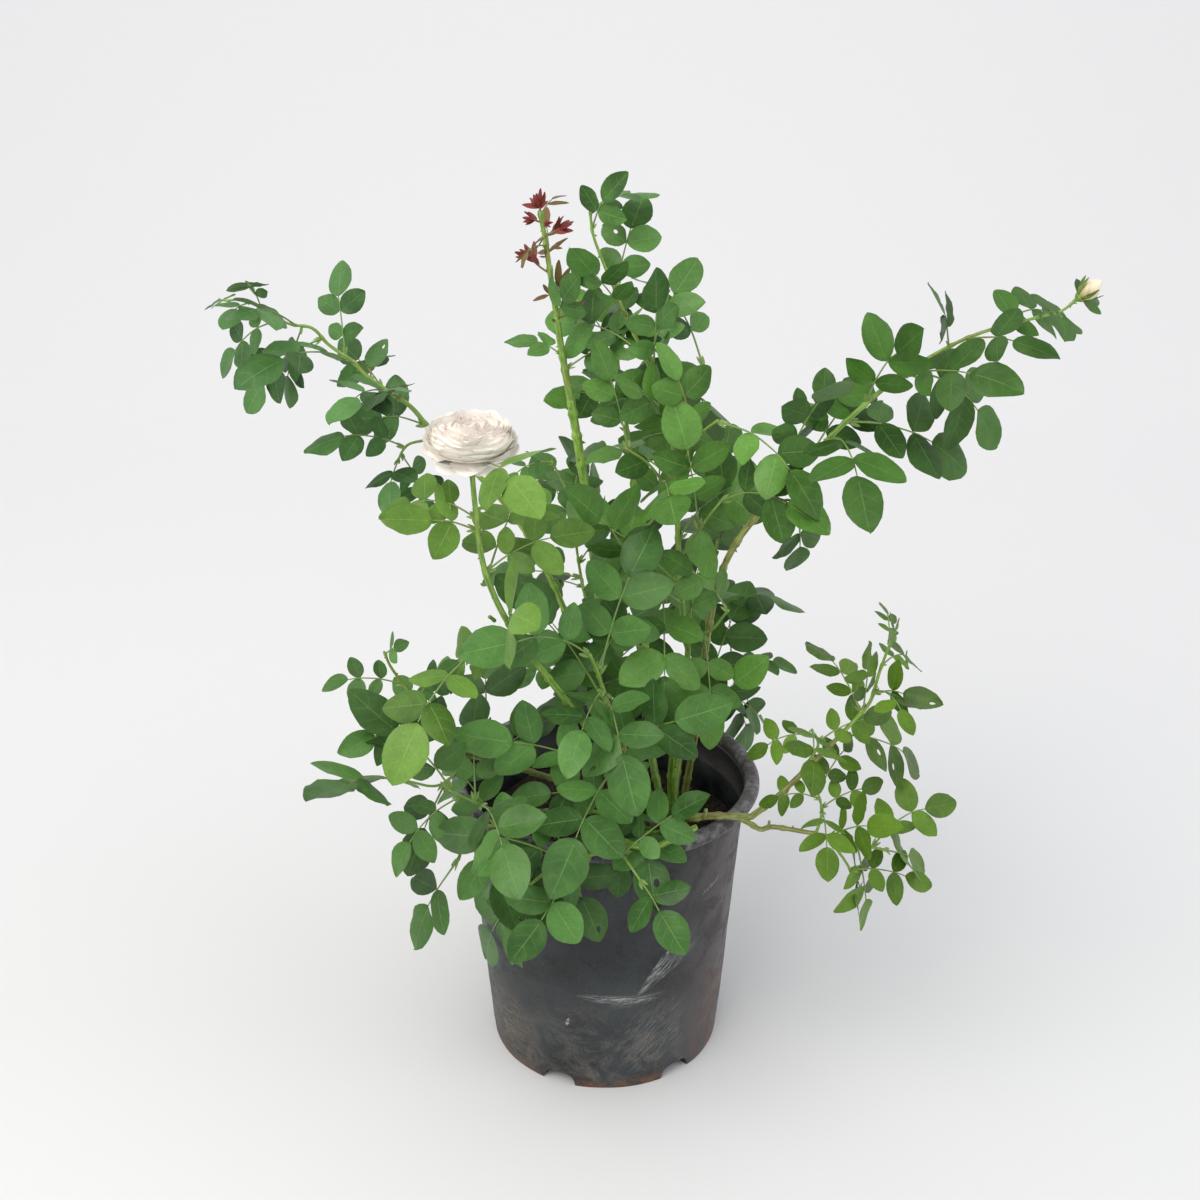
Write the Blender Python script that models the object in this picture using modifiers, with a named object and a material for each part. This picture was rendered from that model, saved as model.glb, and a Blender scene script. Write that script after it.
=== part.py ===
"""A garden rose bush in a black nursery pot, built as separate solids.

Thirteen bare canes rise from one crown, and each carries leafy shoots. A shoot's leaves stand
two fifths of a turn apart, and each is a stalk with three or five leaflets.
Run it with blender --background --python part.py. Scene units are metres, +Z is up, and the
origin is the middle of the pot's flat underside. Plant sizes are in millimetres and degrees.
"""

import math
import random

import bmesh
import bpy
import numpy as np
from mathutils import Vector
from mathutils.bvhtree import BVHTree

MM = 0.001
GAP = 0.3  # left between pieces that touch, mm

# Pot and soil, mm
POT_HEIGHT = 291.0
RIM_RADIUS = 150.0
LIP_WIDTH = 15.0
LIP_HEIGHT = 13.0
BODY_TOP_RADIUS = 136.5
BODY_FOOT_RADIUS = 116.2
WALL = 3.0
FLOOR = 16.0
STEP_HEIGHT = 252.0
STEP_DEPTH = 2.5
SOIL_TOP = 225.0
NOTCH_COUNT = 6
NOTCH_WIDTH = 33.0
NOTCH_HEIGHT = 13.0
NOTCH_DEPTH = 13.0
NOTCH_FIRST = 247.0  # bearing of the first notch, degrees
ROUND_STEPS = 36

# Crown, where every cane starts, mm
CROWN = (58.0, 2.0, SOIL_TOP + GAP)
CROWN_RADIUS = 22.0

# Leaves
TURN = math.radians(144.0)
LEAFLET_OUTLINE = ((0.26, -0.27), (0.6, -0.36), (1.0, 0.0), (0.6, 0.36), (0.26, 0.27), (0.0, 0.0))
LEAF_THICKNESS = 0.035  # of its length
STALK_RADIUS = 1.0
PAIR_SIZES = {1: (0.85,), 2: (0.7, 0.88)}
LEAF_CLEARANCE = 0.8
JOINT = 0.9  # half the width of a side leaflet's root on its stalk, mm

# Bloom and bud, mm
BLOOM_AXIS = (-0.08, -0.34, 1.0)
BLOOM_HIP = 12.0
BLOOM_RISE = 17.0
BLOOM_HEART = 24.0
BLOOM_RINGS = (  # petals, ring radius, height, petal length, rise of the petal in degrees
    (8, 15.0, -9.0, 24.0, -14.0),
    (7, 14.0, -2.0, 23.0, 10.0),
    (7, 11.0, 5.0, 19.0, 30.0),
    (5, 7.0, 9.0, 14.0, 52.0),
)
PETAL_OUTLINE = ((1.0, 0.0), (0.85, 0.4), (0.3, 0.38), (0.0, 0.0), (0.3, -0.38), (0.85, -0.4))
PETAL_THICKNESS = 0.07
BUD_HIP = 5.0
BUD_WIDTH = 14.0
BUD_LENGTH = 21.0

# Every reach is a length in mm, a bearing from +X and a rise above the level in degrees.
# A cane: what it grows from, where (bearing and rise on the crown, or fraction of the limb),
# its reaches, and its radii at foot and tip in mm.
CANES = {
    "cane_a": (
        "crown", (160, 58), ((56, 144, 69), (141, 169, 77), (138, 163, 82), (81, 165, 81)), (5.6, 3.9),
    ),
    "cane_b": ("crown", (-38, 68), ((57, -95, 85), (56, -21, 80), (66, -19, 87)), (3.8, 3.0)),
    "cane_c": ("crown", (98, 52), ((66, 106, 52), (91, 98, 71), (183, 113, 78)), (4.2, 2.8)),
    "cane_d": (
        "crown", (8, 42), ((86, -3, 83), (146, -70, 78), (73, -26, 73), (89, -11, 54)), (3.8, 2.7),
    ),
    "cane_e": ("crown", (170, 24), ((108, 139, 65), (198, 168, 67), (138, 176, 49)), (3.6, 2.4)),
    "cane_f": ("crown", (-140, 50), ((90, -126, 54), (115, -132, 54), (95, -146, 56)), (4.0, 2.8)),
    "cane_g": ("crown", (-166, 17), ((84, -144, 42), (96, -141, 34), (69, -155, 27)), (3.6, 2.4)),
    "cane_h": ("crown", (-98, 16), ((69, -119, 26), (65, -103, 33), (34, -108, 6)), (3.4, 2.3)),
    "cane_i": ("crown", (-50, 18), ((96, -87, 37), (22, -17, 20), (33, -2, 0)), (4.4, 3.2)),
    "cane_j": ("crown", (-132, 16), ((89, -141, 33), (73, -131, 24), (46, -138, 7)), (3.4, 2.3)),
    "cane_k": ("crown", (128, 20), ((90, 110, 26), (99, 115, 53)), (3.6, 2.4)),
    "cane_l": ("crown", (62, 22), ((84, 79, 36), (104, 69, 50)), (3.6, 2.4)),
    "cane_m": ("crown", (-88, 46), ((67, -123, 44), (66, -118, 62), (57, -131, 69)), (3.4, 2.2)),
    "fork_i_up": ("cane_i", 1.0, ((39, -18, 48), (73, -8, 52)), (3.0, 2.1)),
    "fork_i_down": ("cane_i", 0.93, ((12, -11, -25), (14, -18, 20), (48, -7, -7)), (2.6, 1.9)),
}

# A shoot: its mass, what it grows from, at which fraction, its reaches and radii, the fraction
# of its first leaf, the end leaflet length at foot and tip, the turn of the first leaf, and a
# seed for each leaf.
SHOOTS = {
    "a_top": (
        "a_top", "cane_a", 1.0, ((46, 173, 80), (53, 172, 82), (44, 171, 82), (24, 180, 80)),
        (3.6, 1.9), 0.12, (38, 20), 210, (103, 176, 49, 124, 27, 36),
    ),
    "a_side": (
        "a_side", "cane_a", 0.66, ((51, -151, 66), (31, -147, 63)),
        (1.5, 1.0), 0.5, (36, 32), 240, (269, 113),
    ),
    "b_mid": (
        "b_mid", "cane_b", 1.0, ((26, 167, 80), (69, 138, 83), (49, 107, 82), (64, 145, 84)),
        (2.9, 2.3), 0.08, (42, 42), 240, (97, 9, 299, 53, 128),
    ),
    "b_top": (
        "b_top", "b_mid", 1.0,
        ((28, 149, 74), (44, 169, 63), (51, 164, 64), (55, 169, 67), (25, 154, 80)),
        (2.2, 1.1), 0.1, (44, 32), 30, (309, 300, 198, 45, 284, 84, 158),
    ),
    "b_high_right": (
        "b_mid", "b_mid", 0.8, ((52, -48, 56), (24, -35, 43)),
        (1.5, 1.0), 0.5, (44, 42), 0, (287, 20),
    ),
    "b_high_left": (
        "b_mid", "b_mid", 0.66, ((50, -149, 56), (31, -163, 39)),
        (1.5, 1.0), 0.4, (42, 40), 90, (226, 254),
    ),
    "b_upper_right": (
        "b_top", "b_top", 0.1, ((29, 33, 35), (21, 26, 48)),
        (1.5, 1.0), 0.5, (40, 38), 210, (263, 155),
    ),
    "b_mid_right": (
        "b_mid", "b_mid", 0.42, ((57, -46, 56), (26, -32, 55)),
        (1.5, 1.0), 0.4, (44, 42), 0, (270, 3),
    ),
    "b_mid_left": (
        "b_mid", "b_mid", 0.22, ((50, -132, 37), (33, -143, 38)),
        (1.5, 1.0), 0.4, (42, 42), 90, (155, 32),
    ),
    "b_low_right": (
        "b_mid", "b_mid", 0.1, ((35, -54, 15), (36, -46, 51)),
        (1.5, 1.0), 0.4, (46, 42), 180, (141, 158),
    ),
    "b_low_left": (
        "b_low_left", "cane_b", 0.78, ((33, -128, 18), (33, -131, 51)),
        (1.5, 1.0), 0.5, (40, 40), 240, (303, 11),
    ),
    "b_foot": (
        "b_foot", "cane_b", 0.66, ((23, -57, 15), (15, -44, 12)),
        (1.5, 1.0), 0.7, (44, 44), 0, (29,),
    ),
    "c_top": (
        "c_top", "cane_c", 1.0, ((50, 158, 82), (60, -154, 81)),
        (2.5, 1.4), 0.15, (44, 38), 150, (244, 76, 99, 258, 94),
    ),
    "c_left": (
        "c_left", "cane_c", 0.72, ((39, 130, -3), (33, 153, 46)),
        (1.5, 1.0), 0.4, (44, 42), 30, (179, 75, 24),
    ),
    "c_right": (
        "c_right", "cane_c", 0.8, ((55, 54, 25), (38, 33, 46)),
        (1.5, 1.0), 0.4, (44, 42), 60, (192, 22, 35),
    ),
    "c_low": (
        "c_low", "cane_c", 0.45, ((35, 98, -18), (40, 112, 36)),
        (1.5, 1.0), 0.4, (44, 42), 60, (87, 172, 221),
    ),
    "d_inner": (
        "d_inner", "cane_d", 1.0, ((17, -5, 47), (38, -12, 51), (60, -8, 45)),
        (2.6, 2.0), 0.02, (44, 50), 300, (270, 20, 192, 215, 28),
    ),
    "d_outer": (
        "d_outer", "d_inner", 1.0, ((60, -5, 31), (52, -4, 18), (22, -6, 16), (15, -10, 40)),
        (1.9, 1.0), 0.06, (50, 26), 210, (3, 23, 213, 57, 11, 23),
    ),
    "d_left": (
        "d_left", "cane_d", 0.93, ((31, 54, 69), (21, 131, 76)),
        (1.5, 1.0), 0.3, (38, 34), 90, (211, 209),
    ),
    "d_low": (
        "d_low", "cane_d", 0.88, ((34, -61, 25), (16, -51, -38)),
        (1.5, 1.0), 0.6, (42, 42), 180, (23,),
    ),
    "e_inner": (
        "e_inner", "cane_e", 1.0, ((28, 178, 50), (37, 178, 34), (27, 177, 46)),
        (2.3, 1.8), 0.05, (42, 40), 0, (49, 54, 213, 14),
    ),
    "e_outer": (
        "e_outer", "e_inner", 1.0,
        ((24, 177, 35), (21, -180, 47), (23, 178, 11), (39, 178, 29), (20, -180, 4)),
        (1.7, 0.9), 0.08, (42, 24), 240, (4, 144, 252, 154, 95, 59),
    ),
    "e_fork": (
        "e_fork", "cane_e", 0.97, ((25, -165, -9), (17, -156, -52)),
        (1.5, 1.0), 0.5, (42, 40), 30, (23,),
    ),
    "f_top": (
        "f_top", "cane_f", 1.0, ((43, -155, 65), (39, -149, 73), (49, -121, 82), (30, -120, 85)),
        (2.7, 2.1), 0.1, (42, 42), 90, (313, 193, 205, 184),
    ),
    "f_left": (
        "f_left", "cane_f", 0.96, ((23, -156, -1), (21, -160, 8)),
        (1.5, 1.0), 0.4, (42, 42), 270, (18, 14),
    ),
    "g_top": (
        "g_top", "cane_g", 1.0, ((34, -171, 54), (32, -157, 66), (33, -170, 60), (17, -159, 71)),
        (2.2, 1.0), 0.08, (36, 20), 270, (185, 198, 290, 55, 23),
    ),
    "g_left": (
        "g_left", "cane_g", 0.93, ((37, -131, -17), (31, -161, 18)),
        (1.5, 1.0), 0.35, (44, 58), 0, (220, 271),
    ),
    "g_mid": (
        "g_mid", "cane_g", 0.72, ((23, 180, 53), (21, 180, 55)),
        (1.5, 1.0), 0.4, (44, 42), 150, (17, 134),
    ),
    "h_low": (
        "h_low", "cane_h", 1.0, ((42, -163, -6), (34, -160, -30)),
        (2.1, 1.3), 0.2, (48, 54), 30, (40, 18, 87),
    ),
    "h_right": (
        "h_right", "cane_h", 0.92, ((21, -58, -17), (19, -34, -47)),
        (1.5, 1.0), 0.4, (44, 48), 300, (59, 7),
    ),
    "i_up": (
        "i_up", "fork_i_up", 1.0, ((29, -6, 54), (20, -10, 59), (30, -21, 79), (38, -13, 76)),
        (2.0, 1.0), 0.05, (42, 24), 210, (34, 84, 262, 218, 297),
    ),
    "i_up_side": (
        "i_up_side", "fork_i_up", 0.55, ((29, -34, 65), (19, -149, 65)),
        (1.5, 1.0), 0.5, (30, 32), 90, (291,),
    ),
    "i_down": (
        "i_down", "fork_i_down", 1.0, ((19, -18, -7), (32, -11, -8)),
        (1.8, 1.1), 0.2, (42, 46), 60, (28, 104),
    ),
    "i_down_up": (
        "i_down_up", "fork_i_down", 0.85, ((24, -60, 77), (23, -157, 76)),
        (1.5, 1.0), 0.4, (28, 28), 90, (20, 11),
    ),
    "i_down_low": (
        "i_down_low", "fork_i_down", 0.98, ((24, -30, -47), (12, -37, -55)),
        (1.5, 1.0), 0.6, (34, 36), 210, (36,),
    ),
    "j_low": (
        "j_low", "cane_j", 1.0, ((26, -161, -4), (26, -127, -51)),
        (2.1, 1.3), 0.1, (46, 50), 270, (164, 88, 228),
    ),
    "j_up": (
        "j_up", "cane_j", 0.92, ((45, -154, 36), (24, -147, 40)),
        (1.5, 1.0), 0.3, (44, 44), 120, (20, 32),
    ),
    "j_front": (
        "j_front", "cane_j", 0.62, ((45, -101, 6), (18, -119, -20)),
        (1.5, 1.0), 0.5, (44, 46), 210, (94, 42),
    ),
    "k_top": (
        "k_top", "cane_k", 1.0, ((77, 113, 55), (55, 115, 69)),
        (2.2, 1.2), 0.1, (46, 40), 90, (319, 192, 103, 3, 8),
    ),
    "k_side": (
        "k_side", "cane_k", 0.6, ((27, 133, 40), (43, 126, 30)),
        (1.5, 1.0), 0.3, (44, 42), 180, (231, 34, 13),
    ),
    "l_top": (
        "l_top", "cane_l", 1.0, ((75, 74, 62), (53, 78, 67)),
        (2.2, 1.2), 0.1, (46, 40), 60, (243, 116, 22, 284, 124),
    ),
    "l_side": (
        "l_side", "cane_l", 0.55, ((32, 42, 28), (46, 56, 24)),
        (1.5, 1.0), 0.3, (44, 42), 60, (41, 107, 19),
    ),
    "m_top": (
        "m_top", "cane_m", 1.0, ((41, -132, 71), (29, -144, 68)),
        (2.1, 1.4), 0.1, (46, 46), 330, (9, 107, 232, 3),
    ),
    "m_low": (
        "m_low", "cane_m", 0.62, ((38, -122, 28), (20, -135, 32)),
        (1.5, 1.0), 0.4, (46, 48), 60, (211, 144, 140),
    ),
    "m_right": (
        "m_right", "cane_m", 0.4, ((38, -103, 25), (18, -114, 10)),
        (1.5, 1.0), 0.5, (40, 40), 150, (75, 11),
    ),
}


def clear_scene():
    for obj in list(bpy.data.objects):
        bpy.data.objects.remove(obj, do_unlink=True)


def new_collection(name):
    collection = bpy.data.collections.new(name)
    bpy.context.scene.collection.children.link(collection)
    return collection


def plain_material(name, colour, roughness, metallic=0.0):
    material = bpy.data.materials.new(name)
    material.use_nodes = True
    shader = material.node_tree.nodes["Principled BSDF"]
    shader.inputs["Base Color"].default_value = (*colour, 1.0)
    shader.inputs["Roughness"].default_value = roughness
    shader.inputs["Metallic"].default_value = metallic
    return material


def add_object(name, data, collection, material=None):
    obj = bpy.data.objects.new(name, data)
    collection.objects.link(obj)
    if material:
        data.materials.append(material)
    return obj


def baked(obj):
    """Replaces an object's data with the mesh that its modifiers or its curve make."""
    bpy.context.view_layer.update()
    graph = bpy.context.evaluated_depsgraph_get()
    mesh = bpy.data.meshes.new_from_object(obj.evaluated_get(graph))
    name, collection, material = obj.name, obj.users_collection[0], obj.active_material
    bpy.data.objects.remove(obj, do_unlink=True)
    mesh.name = name
    mesh.materials.clear()
    return add_object(name, mesh, collection, material)


def face_outwards(form):
    """Turns a closed form's faces outwards: a thin one needs its volume's sign to tell."""
    bmesh.ops.recalc_face_normals(form, faces=form.faces)
    if form.calc_volume(signed=True) < 0:
        bmesh.ops.reverse_faces(form, faces=form.faces)


def weld(mesh, distance=1e-6):
    form = bmesh.new()
    form.from_mesh(mesh)
    bmesh.ops.remove_doubles(form, verts=form.verts, dist=distance)
    face_outwards(form)
    form.to_mesh(mesh)
    form.free()


# Paths, worked out in millimetres -----------------------------------------------------------


def unit(vector):
    return vector / np.linalg.norm(vector)


def heading(bearing, rise):
    """Unit vector at a bearing from +X and a rise above the level, both in degrees."""
    turn, lift = math.radians(bearing), math.radians(rise)
    level = math.cos(lift)
    return np.array((math.cos(turn) * level, math.sin(turn) * level, math.sin(lift)))


def walk(start, reaches):
    """The points reached by walking each length on its bearing and rise."""
    points = [np.array(start, float)]
    for length, bearing, rise in reaches:
        points.append(points[-1] + length * heading(bearing, rise))
    return points


def smooth_path(points, steps=8):
    """A curve through the points, its slope at each taken from the points beside it."""
    ends = np.array(points, float)
    ends = np.vstack([2 * ends[0] - ends[1], ends, 2 * ends[-1] - ends[-2]])
    curve = []
    for a, b, c, d in zip(ends[:-3], ends[1:-2], ends[2:-1], ends[3:]):
        for t in np.arange(steps) / steps:
            bend = 2 * a - 5 * b + 4 * c - d
            twist = -a + 3 * b - 3 * c + d
            curve.append(0.5 * (2 * b + (c - a) * t + bend * t**2 + twist * t**3))
    return np.array(curve + [ends[-2]])


def along(path, fraction):
    """The point and the direction at this fraction of a path's length."""
    steps = np.linalg.norm(np.diff(path, axis=0), axis=1)
    marks = np.append(0, np.cumsum(steps)) / steps.sum()
    i = max(min(int(np.searchsorted(marks, fraction, side="right")) - 1, len(steps) - 1), 0)
    part = (fraction - marks[i]) / (marks[i + 1] - marks[i])
    return path[i] + (path[i + 1] - path[i]) * part, unit(path[i + 1] - path[i])


def start_on_crown(foot, direction, radius):
    out = heading(*foot)
    lean = math.sqrt(max(0.0, 1 - (out @ direction) ** 2))
    return np.array(CROWN) + out * (CROWN_RADIUS + GAP + radius * lean)


def start_on_limb(limbs, parent, fraction, direction, radius):
    """Where a limb's first ring stands so that its rim just clears the limb it grows from."""
    point, tangent = along(limbs[parent]["path"], fraction)
    slant = abs(tangent @ direction)
    if fraction >= 0.999:
        return point + tangent * (GAP + radius * math.sqrt(max(0.0, 1 - slant**2)))
    foot, tip = limbs[parent]["radii"]
    thick = foot + (tip - foot) * fraction
    square = math.sqrt(max(0.05, 1 - slant**2))
    return point + direction * ((thick + radius * slant) / square + GAP)


def plan_limbs():
    """Every cane's and stem's path, in the order in which they grow from one another."""
    limbs = {}
    for name, (parent, at, reaches, radii) in CANES.items():
        direction = heading(*reaches[0][1:])
        if parent == "crown":
            start = start_on_crown(at, direction, radii[0])
        else:
            start = start_on_limb(limbs, parent, at, direction, radii[0])
        limbs[name] = {"path": smooth_path(walk(start, reaches)), "radii": radii}
    for name, (mass, parent, at, reaches, radii, *_) in SHOOTS.items():
        direction = heading(*reaches[0][1:])
        start = start_on_limb(limbs, parent, at, direction, radii[0])
        if mass != name and at < 0.999:
            start = along(limbs[parent]["path"], at)[0]
        limbs[name] = {"path": smooth_path(walk(start, reaches)), "radii": radii}
    return limbs


# Leaves ---------------------------------------------------------------------------------------


def leaf_plan(root, direction, size, draw):
    """A leaf's stalk as joints (point, direction, up), and its leaflets by joint and hand."""
    away = np.array((root[0] - CROWN[0], root[1], 0.0))
    away = away / (np.linalg.norm(away) + 40.0)
    wobble = np.array([draw.uniform(-1, 1) for _ in range(3)])
    light = np.array((0.0, -0.42, 0.62)) + away * 0.32 + wobble * 0.34
    sag = math.radians(draw.uniform(5, 22))
    pairs = draw.choice((1, 1, 2, 2, 2, 2, 2))
    steps = [size * draw.uniform(0.5, 0.75)] + [size * 0.62] * (pairs - 1) + [size * 0.36]
    point = np.array(root, float)
    joints = [(point, direction, unit(light - direction * (light @ direction)))]
    leaflets = {}
    for k, step in enumerate(steps, 1):
        point = point + direction * step
        up = unit(light - direction * (light @ direction))
        side = np.cross(up, direction)
        joints.append((point, direction, up))
        for hand in (1, -1) if k <= pairs else (0,):
            if hand:
                spread = math.radians(draw.uniform(56, 76))
                tilt = draw.uniform(-0.45, 0.35)
                out = direction * math.cos(spread) + side * hand * math.sin(spread)
                out = unit(out + up * draw.uniform(-0.3, 0.1))
                face = up + side * hand * tilt + direction * draw.uniform(-0.2, 0.2)
                length = size * PAIR_SIZES[pairs][k - 1] * draw.uniform(0.9, 1.08)
            else:
                out = unit(direction + up * draw.uniform(-0.35, 0.05))
                face = up + side * draw.uniform(-0.3, 0.3)
                length = size * draw.uniform(0.95, 1.08)
            leaflets[k, hand] = (point, out, unit(face - out * (face @ out)), length)
        direction = unit(direction * math.cos(sag) - np.array((0.0, 0.0, math.sin(sag))))
    return joints, leaflets


def grow_leaf(path, k, count, first, sizes, spin, seed):
    """The k-th leaf of a stem, two fifths of a turn round it from the last one."""
    draw = random.Random(seed)
    fraction = first + (0.98 - first) * (k + draw.uniform(-0.3, 0.3)) / max(count - 1, 1)
    if k == count - 1:
        fraction = 0.98
    fraction = min(max(fraction, 0.02), 0.98)
    root, tangent = along(path, fraction)
    across = unit(np.cross(tangent, (0.31, 0.95, 0.05)))
    around = math.radians(spin) + k * TURN + draw.uniform(-0.75, 0.75)
    axil = math.radians(draw.uniform(10, 60) if k == count - 1 else draw.uniform(35, 80))
    radial = across * math.cos(around) + np.cross(tangent, across) * math.sin(around)
    direction = tangent * math.cos(axil) + radial * math.sin(axil)
    size = (sizes[0] + (sizes[1] - sizes[0]) * fraction) * draw.uniform(0.82, 1.2)
    return leaf_plan(root, unit(direction), size, draw)


def blade_form(blade, outline=LEAFLET_OUTLINE, thickness=LEAF_THICKNESS, swell=0.0):
    """A blade as a shallow six-sided cone whose rim is drawn out to the blade's outline."""
    base, direction, normal, length = blade
    side = np.cross(normal, direction)
    form = bmesh.new()
    bmesh.ops.create_cone(form, cap_ends=True, segments=6, radius1=1.0, radius2=0.0, depth=1.0)
    for vert in form.verts:
        on_rim = vert.co.z < 0
        turn = round((math.degrees(math.atan2(vert.co.y, vert.co.x)) + 30) / 60) % 6
        reach, width = outline[turn] if on_rim else (0.42, 0.0)
        height = -swell if on_rim else thickness * length + swell
        grown = (reach - 0.45) * (length + 2 * swell) + 0.45 * length
        point = base + direction * grown + side * width * (length + 3 * swell) + normal * height
        vert.co = Vector(point * MM)
    face_outwards(form)
    return form


def add_vert(form, point):
    return form.verts.new(Vector(point * MM))


def stalk_ring(form, joint, shift, radius):
    """The three corners of a stalk by a joint: its ridge, and the two edges of its underside."""
    point, direction, up = joint
    side = np.cross(up, direction)
    middle = point + direction * shift
    low, out = up * radius * -0.5, side * radius * 0.87
    return [add_vert(form, middle + corner) for corner in (up * radius, low + out, low - out)]


def run_out(form, blade, first, last):
    """Draws a side of the stalk, between its corners (ridge, edge) first and last, into a blade."""
    base, direction, normal, length = blade
    across = np.cross(normal, direction)
    rim = [
        add_vert(form, base + direction * reach * length + across * width * length)
        for reach, width in LEAFLET_OUTLINE
        if reach > 0
    ]
    top = add_vert(form, base + direction * 0.42 * length + normal * LEAF_THICKNESS * length)
    loop = [last[0]] + rim + [first[0]]
    for near, far in zip(loop, loop[1:]):
        form.faces.new((top, near, far))
    for near, far in zip(rim, rim[1:]):
        form.faces.new((first[1], far, near))
    form.faces.new((first[1], rim[0], last[1]))
    form.faces.new((rim[-1], first[1], first[0]))
    form.faces.new((rim[0], last[0], last[1]))
    if first[0] is not last[0]:
        form.faces.new((top, first[0], last[0]))


def stem_form(limb, samples):
    """A tapering three-sided stem, as one loft of rings."""
    form = bmesh.new()
    foot, tip = limb["radii"]
    rings = []
    for k in range(samples + 1):
        point, ahead = along(limb["path"], k / samples)
        joint = (point, ahead, unit(np.cross(ahead, (0.31, 0.95, 0.05))))
        rings.append(stalk_ring(form, joint, 0.0, foot + (tip - foot) * k / samples))
    for low, high in zip(rings, rings[1:]):
        for a, b in ((0, 1), (1, 2), (2, 0)):
            form.faces.new((low[b], low[a], high[a], high[b]))
    form.faces.new(rings[0])
    form.faces.new(rings[-1][::-1])
    return form


def leaf_form(joints, leaflets, radius=STALK_RADIUS):
    """One closed form: a three-sided stalk whose sides run out into its leaflets."""
    form = bmesh.new()
    count = len(joints) - 1
    rings = [(0, stalk_ring(form, joints[0], 0.0, radius))]
    for k in range(1, count):
        for shift in (-JOINT, JOINT):
            rings.append((k, stalk_ring(form, joints[k], shift, radius * (1.0 - 0.2 * k / count))))
    rings.append((count, stalk_ring(form, joints[count], 0.0, radius * 0.8)))
    for (k, low), (same, high) in zip(rings, rings[1:]):
        form.faces.new((low[2], low[1], high[1], high[2]))
        for hand in (1, -1):
            edge = 1 if hand == 1 else 2
            if k == same and (k, hand) in leaflets:
                ends = [(low[0], low[edge]), (high[0], high[edge])]
                run_out(form, leaflets[k, hand], *ends[::hand])
            else:
                form.faces.new((low[0], high[0], high[edge], low[edge])[::hand])
    form.faces.new(rings[0][1])
    ridge, left, right = rings[-1][1]
    if (count, 0) in leaflets:
        run_out(form, leaflets[count, 0], (ridge, left), (ridge, right))
    else:
        form.faces.new((ridge, right, left))
    return form


def limb_object(name, limb, sides, collection, material, samples):
    """A tapering limb: a poly curve with a round bevel, sampled along its path."""
    curve = bpy.data.curves.new(name, "CURVE")
    curve.dimensions = "3D"
    curve.bevel_depth = 1.0
    curve.bevel_resolution = (sides - 4) // 2
    curve.use_fill_caps = True
    spline = curve.splines.new("POLY")
    spline.points.add(samples)
    foot, tip = limb["radii"]
    for k, point in enumerate(spline.points):
        spot = along(limb["path"], k / samples)[0] * MM
        point.co = (*spot, 1.0)
        point.radius = (foot + (tip - foot) * k / samples) * MM
    obj = baked(add_object(name, curve, collection, material))
    weld(obj.data)
    return obj


# The crown and its shoots ---------------------------------------------------------------------


def form_object(name, form, collection, material=None):
    mesh = bpy.data.meshes.new(name)
    form.to_mesh(mesh)
    form.free()
    return add_object(name, mesh, collection, material)


def tree_of(obj):
    """A tree of the object's faces that another piece's can be tested against."""
    verts = [vert.co for vert in obj.data.vertices]
    return BVHTree.FromPolygons(verts, [tuple(face.vertices) for face in obj.data.polygons])


def is_free(form, taken, mass):
    """Whether a leaf's form touches no other node and no other leaflet of its own mass."""
    tree = BVHTree.FromBMesh(form)
    form.free()
    return not any((node != mass or is_blade) and tree.overlap(other) for node, is_blade, other in taken)


def core_of(blade):
    """A blade without its root, to tell whether two blades of one leaf would cross."""
    base, direction, normal, length = blade
    return blade_form((base + direction * length * 0.12, direction, normal, length * 0.88))


def add_leaf(leaf, taken, mass, collection):
    """Adds a leaf from its end leaflet back, leaving out what would touch its neighbours."""
    joints, leaflets = leaf
    if not is_free(leaf_form(joints, {}, STALK_RADIUS + LEAF_CLEARANCE), taken, mass):
        return
    kept, own = {}, []
    for place in sorted(leaflets, reverse=True):
        blade = leaflets[place]
        clear = is_free(blade_form(blade, swell=LEAF_CLEARANCE), taken, mass)
        if clear and is_free(core_of(blade), own, mass):
            kept[place] = blade
            core = core_of(blade)
            own.append((mass, True, BVHTree.FromBMesh(core)))
            core.free()
    form_object("leaf", leaf_form(joints, kept), collection)
    taken.append((mass, False, BVHTree.FromBMesh(leaf_form(joints, {}))))
    taken += [(mass, True, BVHTree.FromBMesh(blade_form(blade))) for blade in kept.values()]


def join_all(obj, pieces):
    """Joins the pieces of a collection to an object by one Boolean union, and removes them."""
    union = obj.modifiers.new("union", "BOOLEAN")
    union.operation = "UNION"
    union.operand_type = "COLLECTION"
    union.collection = pieces
    union.solver = "MANIFOLD"
    obj = baked(obj)
    for piece in list(pieces.objects):
        bpy.data.objects.remove(piece, do_unlink=True)
    bpy.data.collections.remove(pieces)
    keep_largest_body(obj.data)
    return obj


def keep_largest_body(mesh):
    """Drops loose scraps: every body but the one with the most faces."""
    form = bmesh.new()
    form.from_mesh(mesh)
    bodies = []
    left = set(form.verts)
    while left:
        body = {left.pop()}
        edge_of_body = list(body)
        while edge_of_body:
            vert = edge_of_body.pop()
            for edge in vert.link_edges:
                other = edge.other_vert(vert)
                if other in left:
                    left.discard(other)
                    body.add(other)
                    edge_of_body.append(other)
        bodies.append(body)
    bodies.sort(key=len)
    scraps = [vert for body in bodies[:-1] for vert in body]
    bmesh.ops.delete(form, geom=scraps, context="VERTS")
    bmesh.ops.triangulate(form, faces=form.faces)
    form.to_mesh(mesh)
    form.free()


def build_canes(limbs, collection, bark):
    taken = []
    for name in CANES:
        sides = 8 if name == "cane_a" else 6
        reach_count = len(CANES[name][2])
        obj = limb_object(name, limbs[name], sides, collection, bark, 2 * reach_count + 1)
        taken.append((name, False, tree_of(obj)))
    return taken


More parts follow.
